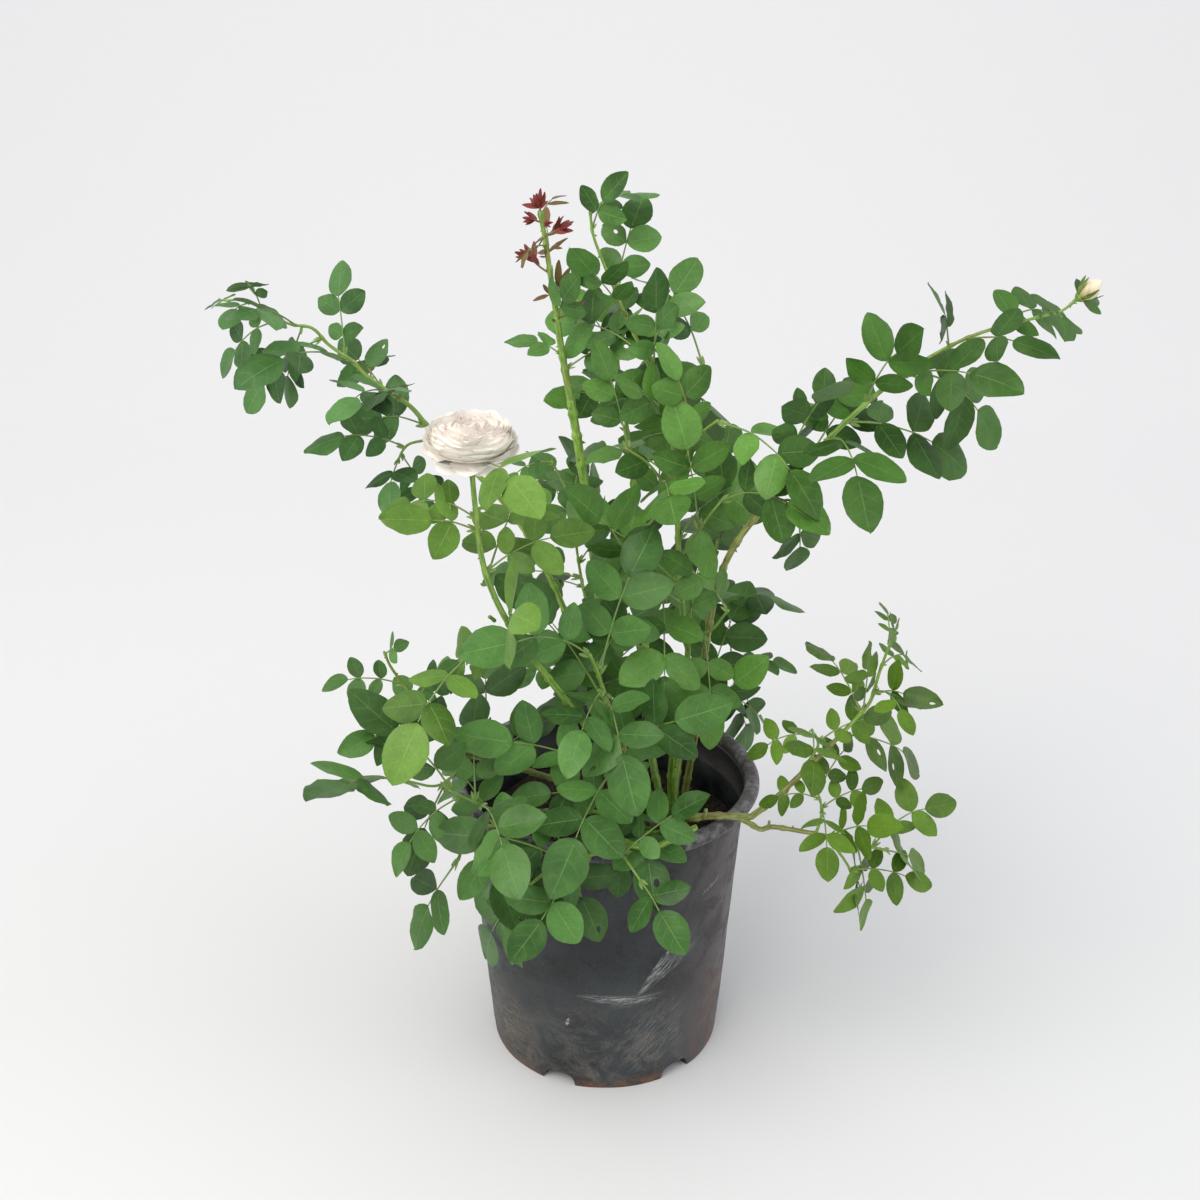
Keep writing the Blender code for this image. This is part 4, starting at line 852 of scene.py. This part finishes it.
# Small late leaves between the others, where the shoots are leafiest: how many on each shoot,
# then their size beside the others', their turn from them in degrees, and their first seeds.
EXTRA = {
    "i_up": 3, "i_up_side": 2, "i_down": 2, "i_down_up": 2, "i_down_low": 1, "e_outer": 2,
    "b_top": 3, "e_inner": 2, "e_fork": 2, "f_top": 2, "k_top": 3, "k_side": 3,
    "l_top": 3, "l_side": 3, "m_top": 2, "m_right": 2, "j_up": 2,
}
LATE_SIZE, LATE_TURN, LATE_SEED, OTHER_SEEDS = 0.84, 75, 900, {"b_top": 1468}
# No leaflet grows into the open bloom, and no leaf over the stout cane's tip: the middles of
# both and how far a leaflet's middle stays from them, in mm.
BLOOM_PLACE, BLOOM_CLEAR = np.array((-104.0, -157.0, 664.0)), 38
TIP_PLACE, TIP_CLEAR = np.array((-57.0, 18.0, 806.0)), 40
young, stalks, stipules, stems, masses = [], [], [], [], {}
for name, (_, _, _, radii, first, sizes, spin, seeds) in SHOOTS.items():
    mass = MASS_OF.get(name, name)
    tint = TINT_OF.get(mass, TINT_OF[mass[0]])
    masses.setdefault(tint, set()).add(mass)
    limb, count, more = limbs[name], len(seeds), EXTRA.get(name, 0)
    path, late, roots = limb["path"], OTHER_SEEDS.get(name, LATE_SEED), []
    small, turned = [LATE_SIZE * size for size in sizes], spin + LATE_TURN
    grown = [grow_leaf(path, k, count, first, sizes, spin, seed) for k, seed in enumerate(seeds)]
    for k in range(more):
        grown.append(grow_leaf(path, k + 0.5, more + 1, first, small, turned, late + k))
    for k, (joints, leaflets) in enumerate(grown):
        middles = np.array([leaf[0] + leaf[1] * leaf[3] / 2 for leaf in leaflets.values()])
        over_tip = np.linalg.norm(middles - TIP_PLACE, axis=1) < TIP_CLEAR
        if mass != "a_top" and over_tip.sum() > 1:
            continue
        clear = np.linalg.norm(middles - BLOOM_PLACE, axis=1) > BLOOM_CLEAR
        size = leaflets[len(joints) - 1, 0][3]
        line = smooth_path([joint[0] for joint in joints], 5)
        stalks.append(tube(line, 0.5 + size * 0.012, 0.55, 5, spacing=6.0, rough=0.0, cap=0.3))
        held = young if name == "a_top" and 2 < k < count else blades[tint]
        held += [leaf for leaf, grows in zip(leaflets.values(), clear) if grows]
        root, direction, up = joints[0]
        side = np.cross(up, direction)
        for hand in (1, -1):
            out = unit(direction + side * hand * 0.28)
            stipules.append((root + side * hand * 0.5, out, unit(up - out * (up @ out)), size * 0.24))
        roots.append(root)
    path = np.vstack((limb["joint"], limb["path"]))
    marks = distances(path)
    joints = [marks[np.argmin(np.linalg.norm(path - root, axis=1))] for root in roots]
    stems.append(tube(path, *radii, 12, spacing=2.2, joints=joints, rough=0.02))

stem_bark = bark_material("soft green stem skin", "#8aad4c", "#5f842f", "#b0bb80", "#8a5a38", 0.25)
stalk_skin = bark_material("leaf stalk skin", "#86a455", "#5f7e3a", "#a8b87c", "#86503f", 0.35)
for piece_name, shapes, skin in (("stems", stems, stem_bark), ("leaf_stalks", stalks, stalk_skin)):
    points, faces, uv, _ = merged(shapes)
    twigs = mesh_piece(piece_name, points, faces, [skin], uv)
    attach(twigs, "root")

# The leaflets --------------------------------------------------------------------------------
# Broad oval leaflets with fine teeth, folded a little along the midrib and bent down to a short
# point. The upper side is satin green with a paler midrib, the underside dull and greyer.


def leaflet_grid(strips):
    """The places (u, v) of a leaflet's points and its faces: u runs from root to tip, v from edge
    to edge. The midrib and two lines beside it have a point at each vein, the edges have two."""
    rows, edge = strips + 1, 2 * strips + 1
    t = np.concatenate([np.linspace(0, 1, rows)] * 3 + [np.linspace(0, 1, edge)] * 2)
    u = 0.15 * t + 0.425 * (1 - np.cos(math.pi * t))
    v = np.repeat((0.0, -0.55, 0.55, -1.0, 1.0), (rows, rows, rows, edge, edge))
    k = np.arange(strips)
    left, right, low, high = k + rows, k + 2 * rows, 2 * k + 3 * rows, 2 * k + 3 * rows + edge
    quads = [(left, left + 1, k + 1, k), (k, k + 1, right + 1, right)]
    quads += [(left, low + 1, low + 2, left + 1), (right + 1, high + 2, high + 1, right)]
    thirds = [(left, low, low + 1), (right, high + 1, high)]
    return u, v, np.hstack(quads).T.reshape(-1, 4), np.hstack(thirds).T.reshape(-1, 3)


def leaflets_of(blades, seed, strips=5, narrow=1.0, thick=0.3, holes=()):
    """Leaflets as an upper and a lower sheet each, which meet at the edge.

    The half width is 0.37 × length × (u / 0.45)^0.6 × ((1 - u) / 0.55)^0.74, which is broad and
    ends in a short point. The blade folds up from its midrib, droops as u², ripples at its edge
    and turns about its midrib. A hole is a face of both sheets left out, rounded off."""
    draw = np.random.default_rng(seed)
    count = len(blades)
    base, ahead, face = (np.array([blade[i] for blade in blades])[:, None] for i in range(3))
    length = np.array([blade[3] for blade in blades])[:, None]
    side = np.cross(face, ahead)
    u, v, quads, thirds = leaflet_grid(strips)
    vary = lambda low, high: draw.uniform(low, high, (count, 1))
    half = 0.37 * narrow * (u / 0.45) ** 0.6 * ((1 - u) / 0.55) ** 0.74 * vary(0.84, 1.08)
    uneven = np.where(np.abs(v) > 0.9, draw.uniform(-0.007, 0.007, (count, len(u))), 0)
    uneven = uneven * (u > 0.05) * (u < 0.96)
    across = (half + uneven) * v
    forward = u + 0.02 * np.abs(v) + uneven * 0.7
    rise = np.abs(across) * np.tan(np.radians(vary(2, 22))) - across**2 * vary(0.2, 1.1)
    ripple = np.sin(2 * math.pi * (vary(1.2, 2.6) * u + vary(0, 1) + 0.5 * (v > 0)))
    rise = rise - vary(0.0, 0.2) * u**2 + vary(0.0, 0.024) * np.abs(v) ** 1.5 * ripple
    rise = rise - 0.010 * (v == 0) * (u < 0.9)
    roll = vary(-0.4, 0.4) * u
    y = (across * np.cos(roll) - rise * np.sin(roll)) * length
    z = (across * np.sin(roll) + rise * np.cos(roll)) * length
    gap = thick * (1 - v**6) * np.clip(np.minimum(u, 1 - u) * 20, 0, 1)
    spot = base + (forward * length)[..., None] * ahead + y[..., None] * side
    points = np.stack((spot + z[..., None] * face, spot + (z - gap)[..., None] * face), 1)
    starts = 2 * len(u) * np.arange(count)[:, None, None]
    blocks = (quads, thirds)
    both = [np.concatenate((block, np.roll(block[:, ::-1], 1, 1) + len(u))) for block in blocks]
    faces = [(block[None] + starts).reshape(-1, block.shape[1]) for block in both]
    under = [np.tile(np.repeat((0, 1), len(block)), count) for block in blocks]
    uv = np.tile(np.stack((v * 0.5 + 0.5, u), -1), (2 * count, 1))
    shade = np.repeat(draw.uniform(0, 1, count), 2 * len(u))
    data = np.hstack((points.reshape(-1, 3), uv, shade[:, None]))
    if len(holes):
        leaf, quad = np.array(holes).T[:, :, None]
        held = ((2 * leaf + (0, 1)) * len(quads) + quad).ravel()
        data, rest, rings = pierced(data, faces[0], held)
        faces = [rest, faces[1], rings]
        under = [np.delete(under[0], held), under[1], np.repeat(under[0][held], 4)]
    return data[:, :3], faces, data[:, 3:5], np.concatenate(under), data[:, 5]


def pierced(data, quads, chosen):
    """Turns each chosen quad into four faces round a hole of eight points about its middle."""
    corners = data[quads[chosen]]
    middle, sides = corners.mean(1, keepdims=True), (corners + np.roll(corners, -1, 1)) / 2
    ring = np.stack((middle + (corners - middle) * 0.42, middle + (sides - middle) * 0.6), 2)
    fresh = len(data) + np.arange(8 * len(chosen)).reshape(-1, 8)
    k = np.arange(4)
    held = quads[chosen]
    rims = [held[:, k], held[:, (k + 1) % 4]]
    rims += [fresh[:, (2 * k + 2) % 8], fresh[:, 2 * k + 1], fresh[:, 2 * k]]
    data = np.vstack((data, ring.reshape(-1, data.shape[1])))
    return data, np.delete(quads, chosen, 0), np.stack(rims, -1).reshape(-1, 5)


def leaflet_piece(name, blades, skins, seed, **shape):
    """The object of a set of leaflets, with the skins of their upper and lower sides."""
    points, faces, uv, index, shade = leaflets_of(blades, seed, **shape)
    return mesh_piece(name, points, faces, skins, uv, index, {"shade": shade})


def leaf_material(name, dark, light, vein, roughness, rim="#5f5a30"):
    """A leaf's skin: two greens by leaf and by place, a pale midrib, faint side veins in pairs at
    eight places along it, mottling of some 2.5 mm, a reddish rim, and a grain of a millimetre."""
    material, add, shader = new_material(name, {"Roughness": roughness, "Specular IOR Level": 0.3})
    where, uv = (add("TexCoord", {}, kind) for kind in ("Object", "UV"))
    v, u = (add("SeparateXYZ", {"Vector": uv}, axis) for axis in "XY")
    offset = add("Math", (v, 0.5), operation="SUBTRACT")
    offset = add("Math", (offset,), operation="ABSOLUTE")
    curve = add("Math", (offset, 1.3), operation="POWER")
    phase = add("Math", (curve, -0.54, u), operation="MULTIPLY_ADD")
    phase = add("Math", (phase, 0.125, 0.125), operation="PINGPONG")
    net = add("MapRange", (phase, 0.1, 0.125, 0.0, 0.09))
    net = add("Math", (net, add("MapRange", (offset, 0.3, 0.46, 1.0, 0.0))))
    rib = add("MapRange", (offset, 0.006, 0.024, 0.3, 0.0))
    veins = add("Math", (net, rib), operation="MAXIMUM")
    shade = add("Attribute", {}, "Fac", attribute_name="shade")
    cloudy = patches(add, where, 30, 0.3, 0.7, 1.0, 5.0, 0.6)
    blend = add("Mix", {0: 0.7, 2: cloudy, 3: shade}, 0, data_type="FLOAT")
    colour = add("Mix", (blend, dark, light))
    mottle = patches(add, where, 2.5, 0.4, 0.75, 0.22, 3.0, 0.6)
    at_rim = add("MapRange", (offset, 0.475, 0.5, 0.0, 0.4))
    for mask, tint in ((mottle, dark), (veins, vein), (at_rim, rim)):
        colour = add("Mix", (mask, colour, tint))
    grain = add("TexNoise", {"Vector": where, "Scale": 1000 / 1.2, "Detail": 3.0})
    relief = add("Bump", {"Height": grain, "Distance": 0.0002, "Strength": 0.3})
    relief = {"Height": veins, "Distance": 0.001, "Strength": 0.6, "Normal": relief}
    add(shader, {"Base Color": colour, "Normal": add("Bump", relief, invert=True)})
    return material


underside = leaf_material("dull leaf underside", "#587a48", "#76955f", "#9db083", 0.6)
# Each tint: its dark and light green, its veins, the breadth of its leaflets beside the usual,
# and the holes eaten in them, each by leaflet and face.
TINTS = {
    "back": ("#18350e", "#548136", "#82a85b", 1.0, ()),
    "fresh": ("#2d4f10", "#729c3c", "#95b858", 0.92, ((7, 3),)),
    "front": ("#214515", "#5e9143", "#8eb767", 0.96, ((72, 7), (31, 8))),
    "left": ("#1f4116", "#5e8f4b", "#83ab6a", 0.95, ((9, 3),)),
    "low": ("#214013", "#5a893f", "#7ea25d", 0.9, ((77, 7), (77, 3), (72, 8))),
    "middle": ("#214411", "#65983e", "#90b760", 1.0, ((80, 3),)),
    "right": ("#18360a", "#4e7e2d", "#739c48", 0.96, ()),
    "sunny": ("#234207", "#688f27", "#89a63d", 0.84, ((12, 3), (1, 7), (3, 2))),
    "top": ("#244815", "#679a49", "#91bc69", 0.96, ((39, 2), (3, 7))),
}
for number, (tint, held) in enumerate(blades.items()):
    *tones, narrow, holes = TINTS[tint]
    skin = leaf_material("satin leaf, " + tint, *tones, 0.44)
    skins = [skin, underside]
    leaves = leaflet_piece("leaflets_" + tint, held, skins, number, narrow=narrow, holes=holes)
    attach(leaves, "root")
    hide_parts(*sorted(masses[tint]))

wing_skin = leaf_material("stipule skin", "#6a8a45", "#8fab62", "#a9bd80", 0.5)
skins = [wing_skin, wing_skin]
wings = leaflet_piece("stipules", stipules, skins, seed=77, strips=2, narrow=0.45, thick=0.2)
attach(wings, "root")

# The young growth ----------------------------------------------------------------------------
# Tufts of new shoots up the top of the stout cane: narrow pointed leaflets on short soft stems,
# burgundy while they unfold at the tip, bronze a little lower where they begin to turn green.
tufts, tuft_stems = {"burgundy": [], "bronze": young}, []
# Each tuft: its kind, where on the cane, which way, its stem in mm, its leaflets, their length.
for number, (kind, fraction, way, stem, count, size) in enumerate(
    (
        ("burgundy", 1.0, (0.05, -0.4, 1.0), 4.0, 16, 15.0),
        ("burgundy", 0.95, (-1.0, -0.5, 0.3), 8.0, 10, 14.0),
        ("burgundy", 0.93, (0.5, -0.8, 0.3), 3.0, 4, 10.0),
        ("burgundy", 0.88, (1.0, -0.6, 0.5), 17.0, 10, 16.0),
        ("bronze", 0.8, (0.9, -0.3, 0.5), 5.0, 3, 12.0),
        ("burgundy", 0.68, (-0.85, -0.25, 0.7), 22.0, 9, 18.0),
        ("bronze", 0.76, (-0.6, -0.5, 0.5), 3.0, 2, 9.0),
        ("bronze", 0.6, (1.0, -0.35, 0.35), 9.0, 5, 22.0),
        ("bronze", 0.57, (-1.0, -0.3, 0.05), 4.0, 2, 21.0),
        ("bronze", 0.45, (1.0, -0.4, 0.45), 15.0, 4, 19.0),
        ("bronze", 0.42, (-1.0, -0.2, 0.3), 2.0, 1, 9.0),
    )
):
    draw = random.Random(60 + number)
    foot, up = along(limbs["a_top"]["path"], fraction)
    lead = unit(np.array(way))
    tip = foot + lead * stem
    line = smooth_path((foot, (foot + tip) / 2 - up, tip))
    tuft_stems.append(tube(line, 1.1, 0.8, 6, spacing=3.0, rough=0.0, cap=0.3))
    for k in range(count):
        astray = np.array([draw.uniform(-1, 1) for _ in range(3)])
        ahead = unit(lead + 0.95 * astray + 0.2 * up)
        face = np.cross(ahead, np.cross((draw.uniform(-0.4, 0.4), -0.8, 0.6), ahead))
        root = foot + (tip - foot) * (0.5 + 0.5 * (k + 1) / count)
        tufts[kind].append((root, ahead, unit(face), size * draw.uniform(0.55, 1.1)))
# Each kind: the two tones of its face, its veins, the two tones of its back, and its rim.
for kind, tones, back, rim in (
    ("burgundy", ("#6a2c2c", "#94483f", "#a8605a"), ("#7a3a34", "#9a5648", "#b0706a"), "#4f1f22"),
    ("bronze", ("#454a20", "#7c5c34", "#8f7c4c"), ("#6f5c34", "#84844a", "#9a9a64"), "#5f2f24"),
):
    new_leaf = leaf_material(kind + " young leaf", *tones, 0.36, rim)
    new_back = leaf_material(kind + " young leaf back", *back, 0.5, rim)
    skins = [new_leaf, new_back]
    shape = {"seed": 12, "strips": 4, "narrow": 0.42}
    leaves = leaflet_piece("young_leaflets_" + kind, tufts[kind], skins, **shape)
    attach(leaves, "root")
new_stem = bark_material("reddish young stem", "#8a8a4c", "#7e6a40", "#a8a870", "#7a4638", 0.5)
points, faces, uv, _ = merged(tuft_stems)
twigs = mesh_piece("young_stems", points, faces, [new_stem], uv)
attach(twigs, "root")

# The bloom -----------------------------------------------------------------------------------
# One open, many-petalled flower, creamy white with a faint blush. The guard petals bend back,
# the next ones stand in a shallow bowl, and the middle is packed with small folded petals.
bloom_tip, bloom_up = along(limbs["f_top"]["path"], 1.0)
bloom_axis = unit(np.array((0.04, -0.2, 1.0)))
bloom_centre = bloom_tip + bloom_up * 10.0 + bloom_axis * 15.5
# Each ring: its petals, radius and height of their rims, half width in radians, ruffle in mm.
PETAL_RINGS = (
    (6, 32.0, -16.5, 0.5, 0.8),
    (7, 35.0, -11.0, 0.48, 0.9),
    (7, 37.0, -3.5, 0.58, 1.0),
    (8, 36.5, 1.5, 0.56, 1.1),
    (9, 35.0, 5.5, 0.54, 1.1),
    (10, 33.0, 9.0, 0.52, 1.2),
    (11, 30.5, 11.5, 0.5, 1.3),
    (12, 27.5, 13.0, 0.48, 1.5),
    (13, 24.5, 14.0, 0.46, 1.7),
    (13, 21.0, 14.6, 0.46, 1.8),
    (13, 17.5, 15.0, 0.46, 1.9),
    (12, 14.0, 15.2, 0.5, 1.9),
    (10, 10.5, 15.2, 0.56, 1.7),
    (8, 7.0, 15.0, 0.66, 1.4),
    (6, 4.0, 14.8, 0.85, 1.0),
)


def around(axis, turn):
    """Unit vectors square to an axis, at these turns about it."""
    first = unit(np.cross(axis, (0.0, 1.0, 0.2)))
    return np.cos(turn)[..., None] * first + np.sin(turn)[..., None] * np.cross(axis, first)


def petal_set(rings, centre, axis, seed=8, rows=8, columns=8):
    """Petals round an axis. Each runs along a quadratic curve of radius and height, out from the
    flower's foot and over or up to its rim, spreads to both sides by an angle, is rounded at its
    end as v², and is ruffled by sines of v that grow as u³; the inner ones bunch in quarters."""
    draw = np.random.default_rng(seed)
    u = np.linspace(0, 1, rows)[None, :, None] ** 0.8
    v = np.linspace(-1, 1, columns)[None, None]
    table = np.repeat(np.array(rings), [ring[0] for ring in rings], axis=0)[:, :, None, None]
    count, radius, height, width, ruffle = (table[:, i] for i in range(5))
    many = len(table)
    vary = lambda low, high: draw.uniform(low, high, (many, 1, 1))
    number = np.concatenate([np.arange(ring[0]) for ring in rings])[:, None, None]
    turn = np.concatenate([np.full(ring[0], 2.4 * k) for k, ring in enumerate(rings)])[:, None, None]
    guard = height < -9
    rim, lift = radius * vary(0.95, 1.04), height + vary(-1.0, 1.0) * np.where(guard, 2.6, 1)
    s = u * (1 - (0.02 + 0.005 * radius) * v**2 - 0.05 * v**4 + 0.02 * np.sin(3 * v + vary(0, 6)))
    bend_r = np.where(guard, 0.75, 1.02) * rim
    bend_z = np.where(guard, lift + 9, np.minimum(lift - 6, -4))
    r = (1 - s) ** 2 * np.minimum(5, 0.4 * radius) + 2 * s * (1 - s) * bend_r + s**2 * rim
    z = (1 - s) ** 2 * -11 + 2 * s * (1 - s) * bend_z + s**2 * lift
    curl = np.clip((s - 0.8) / 0.2, 0, 1) ** 2
    r = r + curl * vary(0.4, 2.2) * np.where(radius > 14, 1, -0.3)
    z = z - curl * vary(0.1, 1.2)
    wave = np.sin(4.2 * v + vary(0, 6)) + 0.6 * np.sin(8.3 * v + vary(0, 6) + 2 * s)
    r = r + ruffle * 0.5 * wave * s**3
    z = z + ruffle * 0.4 * np.sin(5.1 * v + vary(0, 6)) * s**3
    spread = width * vary(0.9, 1.15) * (0.45 + 0.55 * np.sin(1.9 * np.minimum(s, 1)))
    angle = turn + 2 * math.pi * (number + vary(-0.16, 0.16)) / count + v * spread
    r = r * (1 + np.where(radius < 28, 0.1, 0) * np.cos(4 * angle) * s)
    points = centre + axis * z[..., None] + r[..., None] * around(axis, angle)
    faces = grid_faces(rows, columns)[None] + rows * columns * np.arange(many)[:, None, None]
    uv = np.broadcast_to(np.stack(np.broadcast_arrays(v * 0.5 + 0.5, u), -1), (*points.shape[:3], 2))
    tone = np.clip(1 - radius / 36, 0, 1) + 0 * u + 0 * v
    return points.reshape(-1, 3), faces.reshape(-1, 4), uv.reshape(-1, 2), tone.ravel()


def spun(profile, foot, up, columns=24, wave=lambda turn, height: 1.0):
    """A profile of radius and height carried round an axis, its radius times a wave of both."""
    rows = np.array(profile, float)
    turn = full_turn(columns)[None]
    height = rows[:, 1:] + 0 * turn
    radius = rows[:, :1] * wave(turn, height)
    points = foot + up * height[..., None] + (radius + 0 * turn)[..., None] * around(up, turn)
    uv = np.stack(np.broadcast_arrays(turn / (2 * math.pi), height / 1000), -1)
    return points.reshape(-1, 3), grid_faces(len(rows), columns, wrap=True), uv.reshape(-1, 2)


def finish_petal(add, shader, colour, scale, fade, tint, strength):
    """Fine fibres from a petal's foot to its rim, which tint its colour and stand out a little."""
    fibres = add("Mapping", {"Vector": add("TexCoord", {}, "UV"), "Scale": scale})
    fibres = add("TexNoise", {"Vector": fibres, "Scale": 1.0, "Detail": 3.0})
    colour = add("Mix", (add("MapRange", (fibres, *fade)), colour, tint))
    relief = add("Bump", {"Height": fibres, "Distance": 0.0004, "Strength": strength})
    add(shader, {"Base Color": colour, "Normal": relief})


# Petal flesh: creamy white outside, pale buff in the heart, and yellowish at its foot. In the heart
# each petal also carries painted shade, darker below its rim and paling toward it.
petal_skin = {"Roughness": 0.55, "Specular IOR Level": 0.3}
petal_flesh, add, shader = new_material("cream and blush petal", petal_skin)
tone = add("Attribute", {}, "Fac", attribute_name="blush")
from_foot = add("SeparateXYZ", {"Vector": add("TexCoord", {}, "UV")}, "Y")
heart = add("MapRange", (tone, 0.0, 0.55))
# Painted shade: in the heart each petal is darker below its rim, the shadow lines between petals.
painted_petal_shade = add("Math", (add("MapRange", (from_foot, 0.7, 0.97, 1.0, 0.0)), heart))
foot = add("MapRange", (from_foot, 0.0, 0.45, 0.6, 0.0))
colour = add("Mix", (heart, "#f6f2ea", "#ece6df"))
colour = add("Mix", (painted_petal_shade, colour, "#e6dad0"))
colour = add("Mix", (foot, colour, "#e9dfc2"))
finish_petal(add, shader, colour, (26.0, 2.0, 1.0), (0.5, 0.8, 0.0, 0.2), "#ecdfd2", 0.3)
points, faces, uv, tone = petal_set(PETAL_RINGS, bloom_centre, bloom_axis)
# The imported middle: a closed mound 3.4 mm under the rims and a little inside them, so that no gap
# between the petals is deep. Its UV says that it is all near a rim, and its tone grows inward.
heart_rows = [(0.93 * r, h - 3.4) for _, r, h, _, _ in PETAL_RINGS[4:]]
heart_rows = [(0.0, -12.0), (16.0, -11.0), (27.0, -6.0), *heart_rows, (0.0, 11.4)]
middle, walls, middle_uv = spun(heart_rows, bloom_centre, bloom_axis, columns=40)
middle_uv[:, 1] = 0.8
off_axis = np.linalg.norm(np.cross(middle - bloom_centre, bloom_axis), axis=1)
points, faces, uv, _ = merged([(points, faces, uv), (middle, walls, middle_uv)])
tone = np.append(tone, np.clip(1 - off_axis / 36, 0, 1))
bloom = mesh_piece("bloom_petals", points, faces, [petal_flesh], uv, None, {"blush": tone})
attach(bloom, "root")
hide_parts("bloom")

# The bud -------------------------------------------------------------------------------------
# One closed bud on the long right shoot: petals rolled in a spiral, in five pointed sepals. Bud
# and bloom each sit on a green hip, the swollen end of the stem.
bud_tip, bud_up = along(limbs["d_outer"]["path"], 1.0)
# A tight bud's petals: straw-coloured at the foot, cream and faintly flushed at the tip, with
# soft streaks along them some 2 mm apart.
petal_skin = {"Roughness": 0.5, "Specular IOR Level": 0.35}
bud_flesh, add, shader = new_material("cream bud petal", petal_skin)
up_bud = add("SeparateXYZ", {"Vector": add("TexCoord", {}, "UV")}, "Y")
colour = add("Mix", (add("MapRange", (up_bud, 0.004, 0.019)), "#c3b678", "#eadfc4"))
colour = add("Mix", (add("MapRange", (up_bud, 0.018, 0.024, 0.0, 0.7)), colour, "#efe0d6"))
finish_petal(add, shader, colour, (22.0, 90.0, 1.0), (0.45, 0.75, 0.0, 0.45), "#cdb98c", 0.4)
# An egg 21 mm tall, its radius 8.3 × sin(pi × rise^0.9)^0.62 × (1 - 0.24 × rise), and stepped
# by 15 % along three spirals where a petal ends.
rise = np.linspace(0, 1, 34)
egg = 8.3 * np.sin(math.pi * rise**0.9) ** 0.62 * (1 - 0.24 * rise)
egg = np.stack((egg, 3.5 + 21 * rise), 1)
rolled = lambda turn, height: 1 + 0.15 * ((1.5 * turn / math.pi + (height - 4) / 17) % 1.0 - 0.5)
points, faces, uv = spun(egg, bud_tip, bud_up, columns=72, wave=rolled)
bud = mesh_piece("bud_petals", points, faces, [bud_flesh], uv)
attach(bud, "root")
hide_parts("bud")

hips, sepals = [], []
# Each flower: its foot, its axis, its hip's radii from foot to neck, and its sepals' length,
# splay and outer side. A hip is 1.7 times as tall as its middle radius.
for tip, up, radii, length, splay, hand in (
    (bloom_tip, bloom_up, (2.4, 3.4, 6.4, 7.4, 6.4), 26.0, 1.5, 1),
    (bud_tip, bud_up, (1.2, 1.8, 3.2, 4.4, 4.8), 16.0, 0.64, -1),
):
    tall = 1.7 * radii[2]
    rows = [(r, -1.0 + tall * k / 4) for k, r in enumerate(radii)] + [(0.0, tall - 0.6)]
    hips.append(spun(rows, tip, up))
    for out in around(up, full_turn(5) + 0.3):
        root = tip + up * (tall - 1.5) + out * radii[4] * 0.9
        sepals.append((root, unit(up + out * splay), hand * unit(up * splay - out), length))
points, faces, uv, _ = merged(hips)
hip_set = mesh_piece("hips", points, faces, [stem_bark], uv)
sepal_skin = leaf_material("sepal skin", "#56691f", "#82954a", "#9fac68", 0.5)
skins = [sepal_skin, underside]
sepal_set = leaflet_piece("sepals", sepals, skins, seed=5, strips=4, narrow=0.34, thick=0.35)
for piece in (hip_set, sepal_set):
    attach(piece, "root")
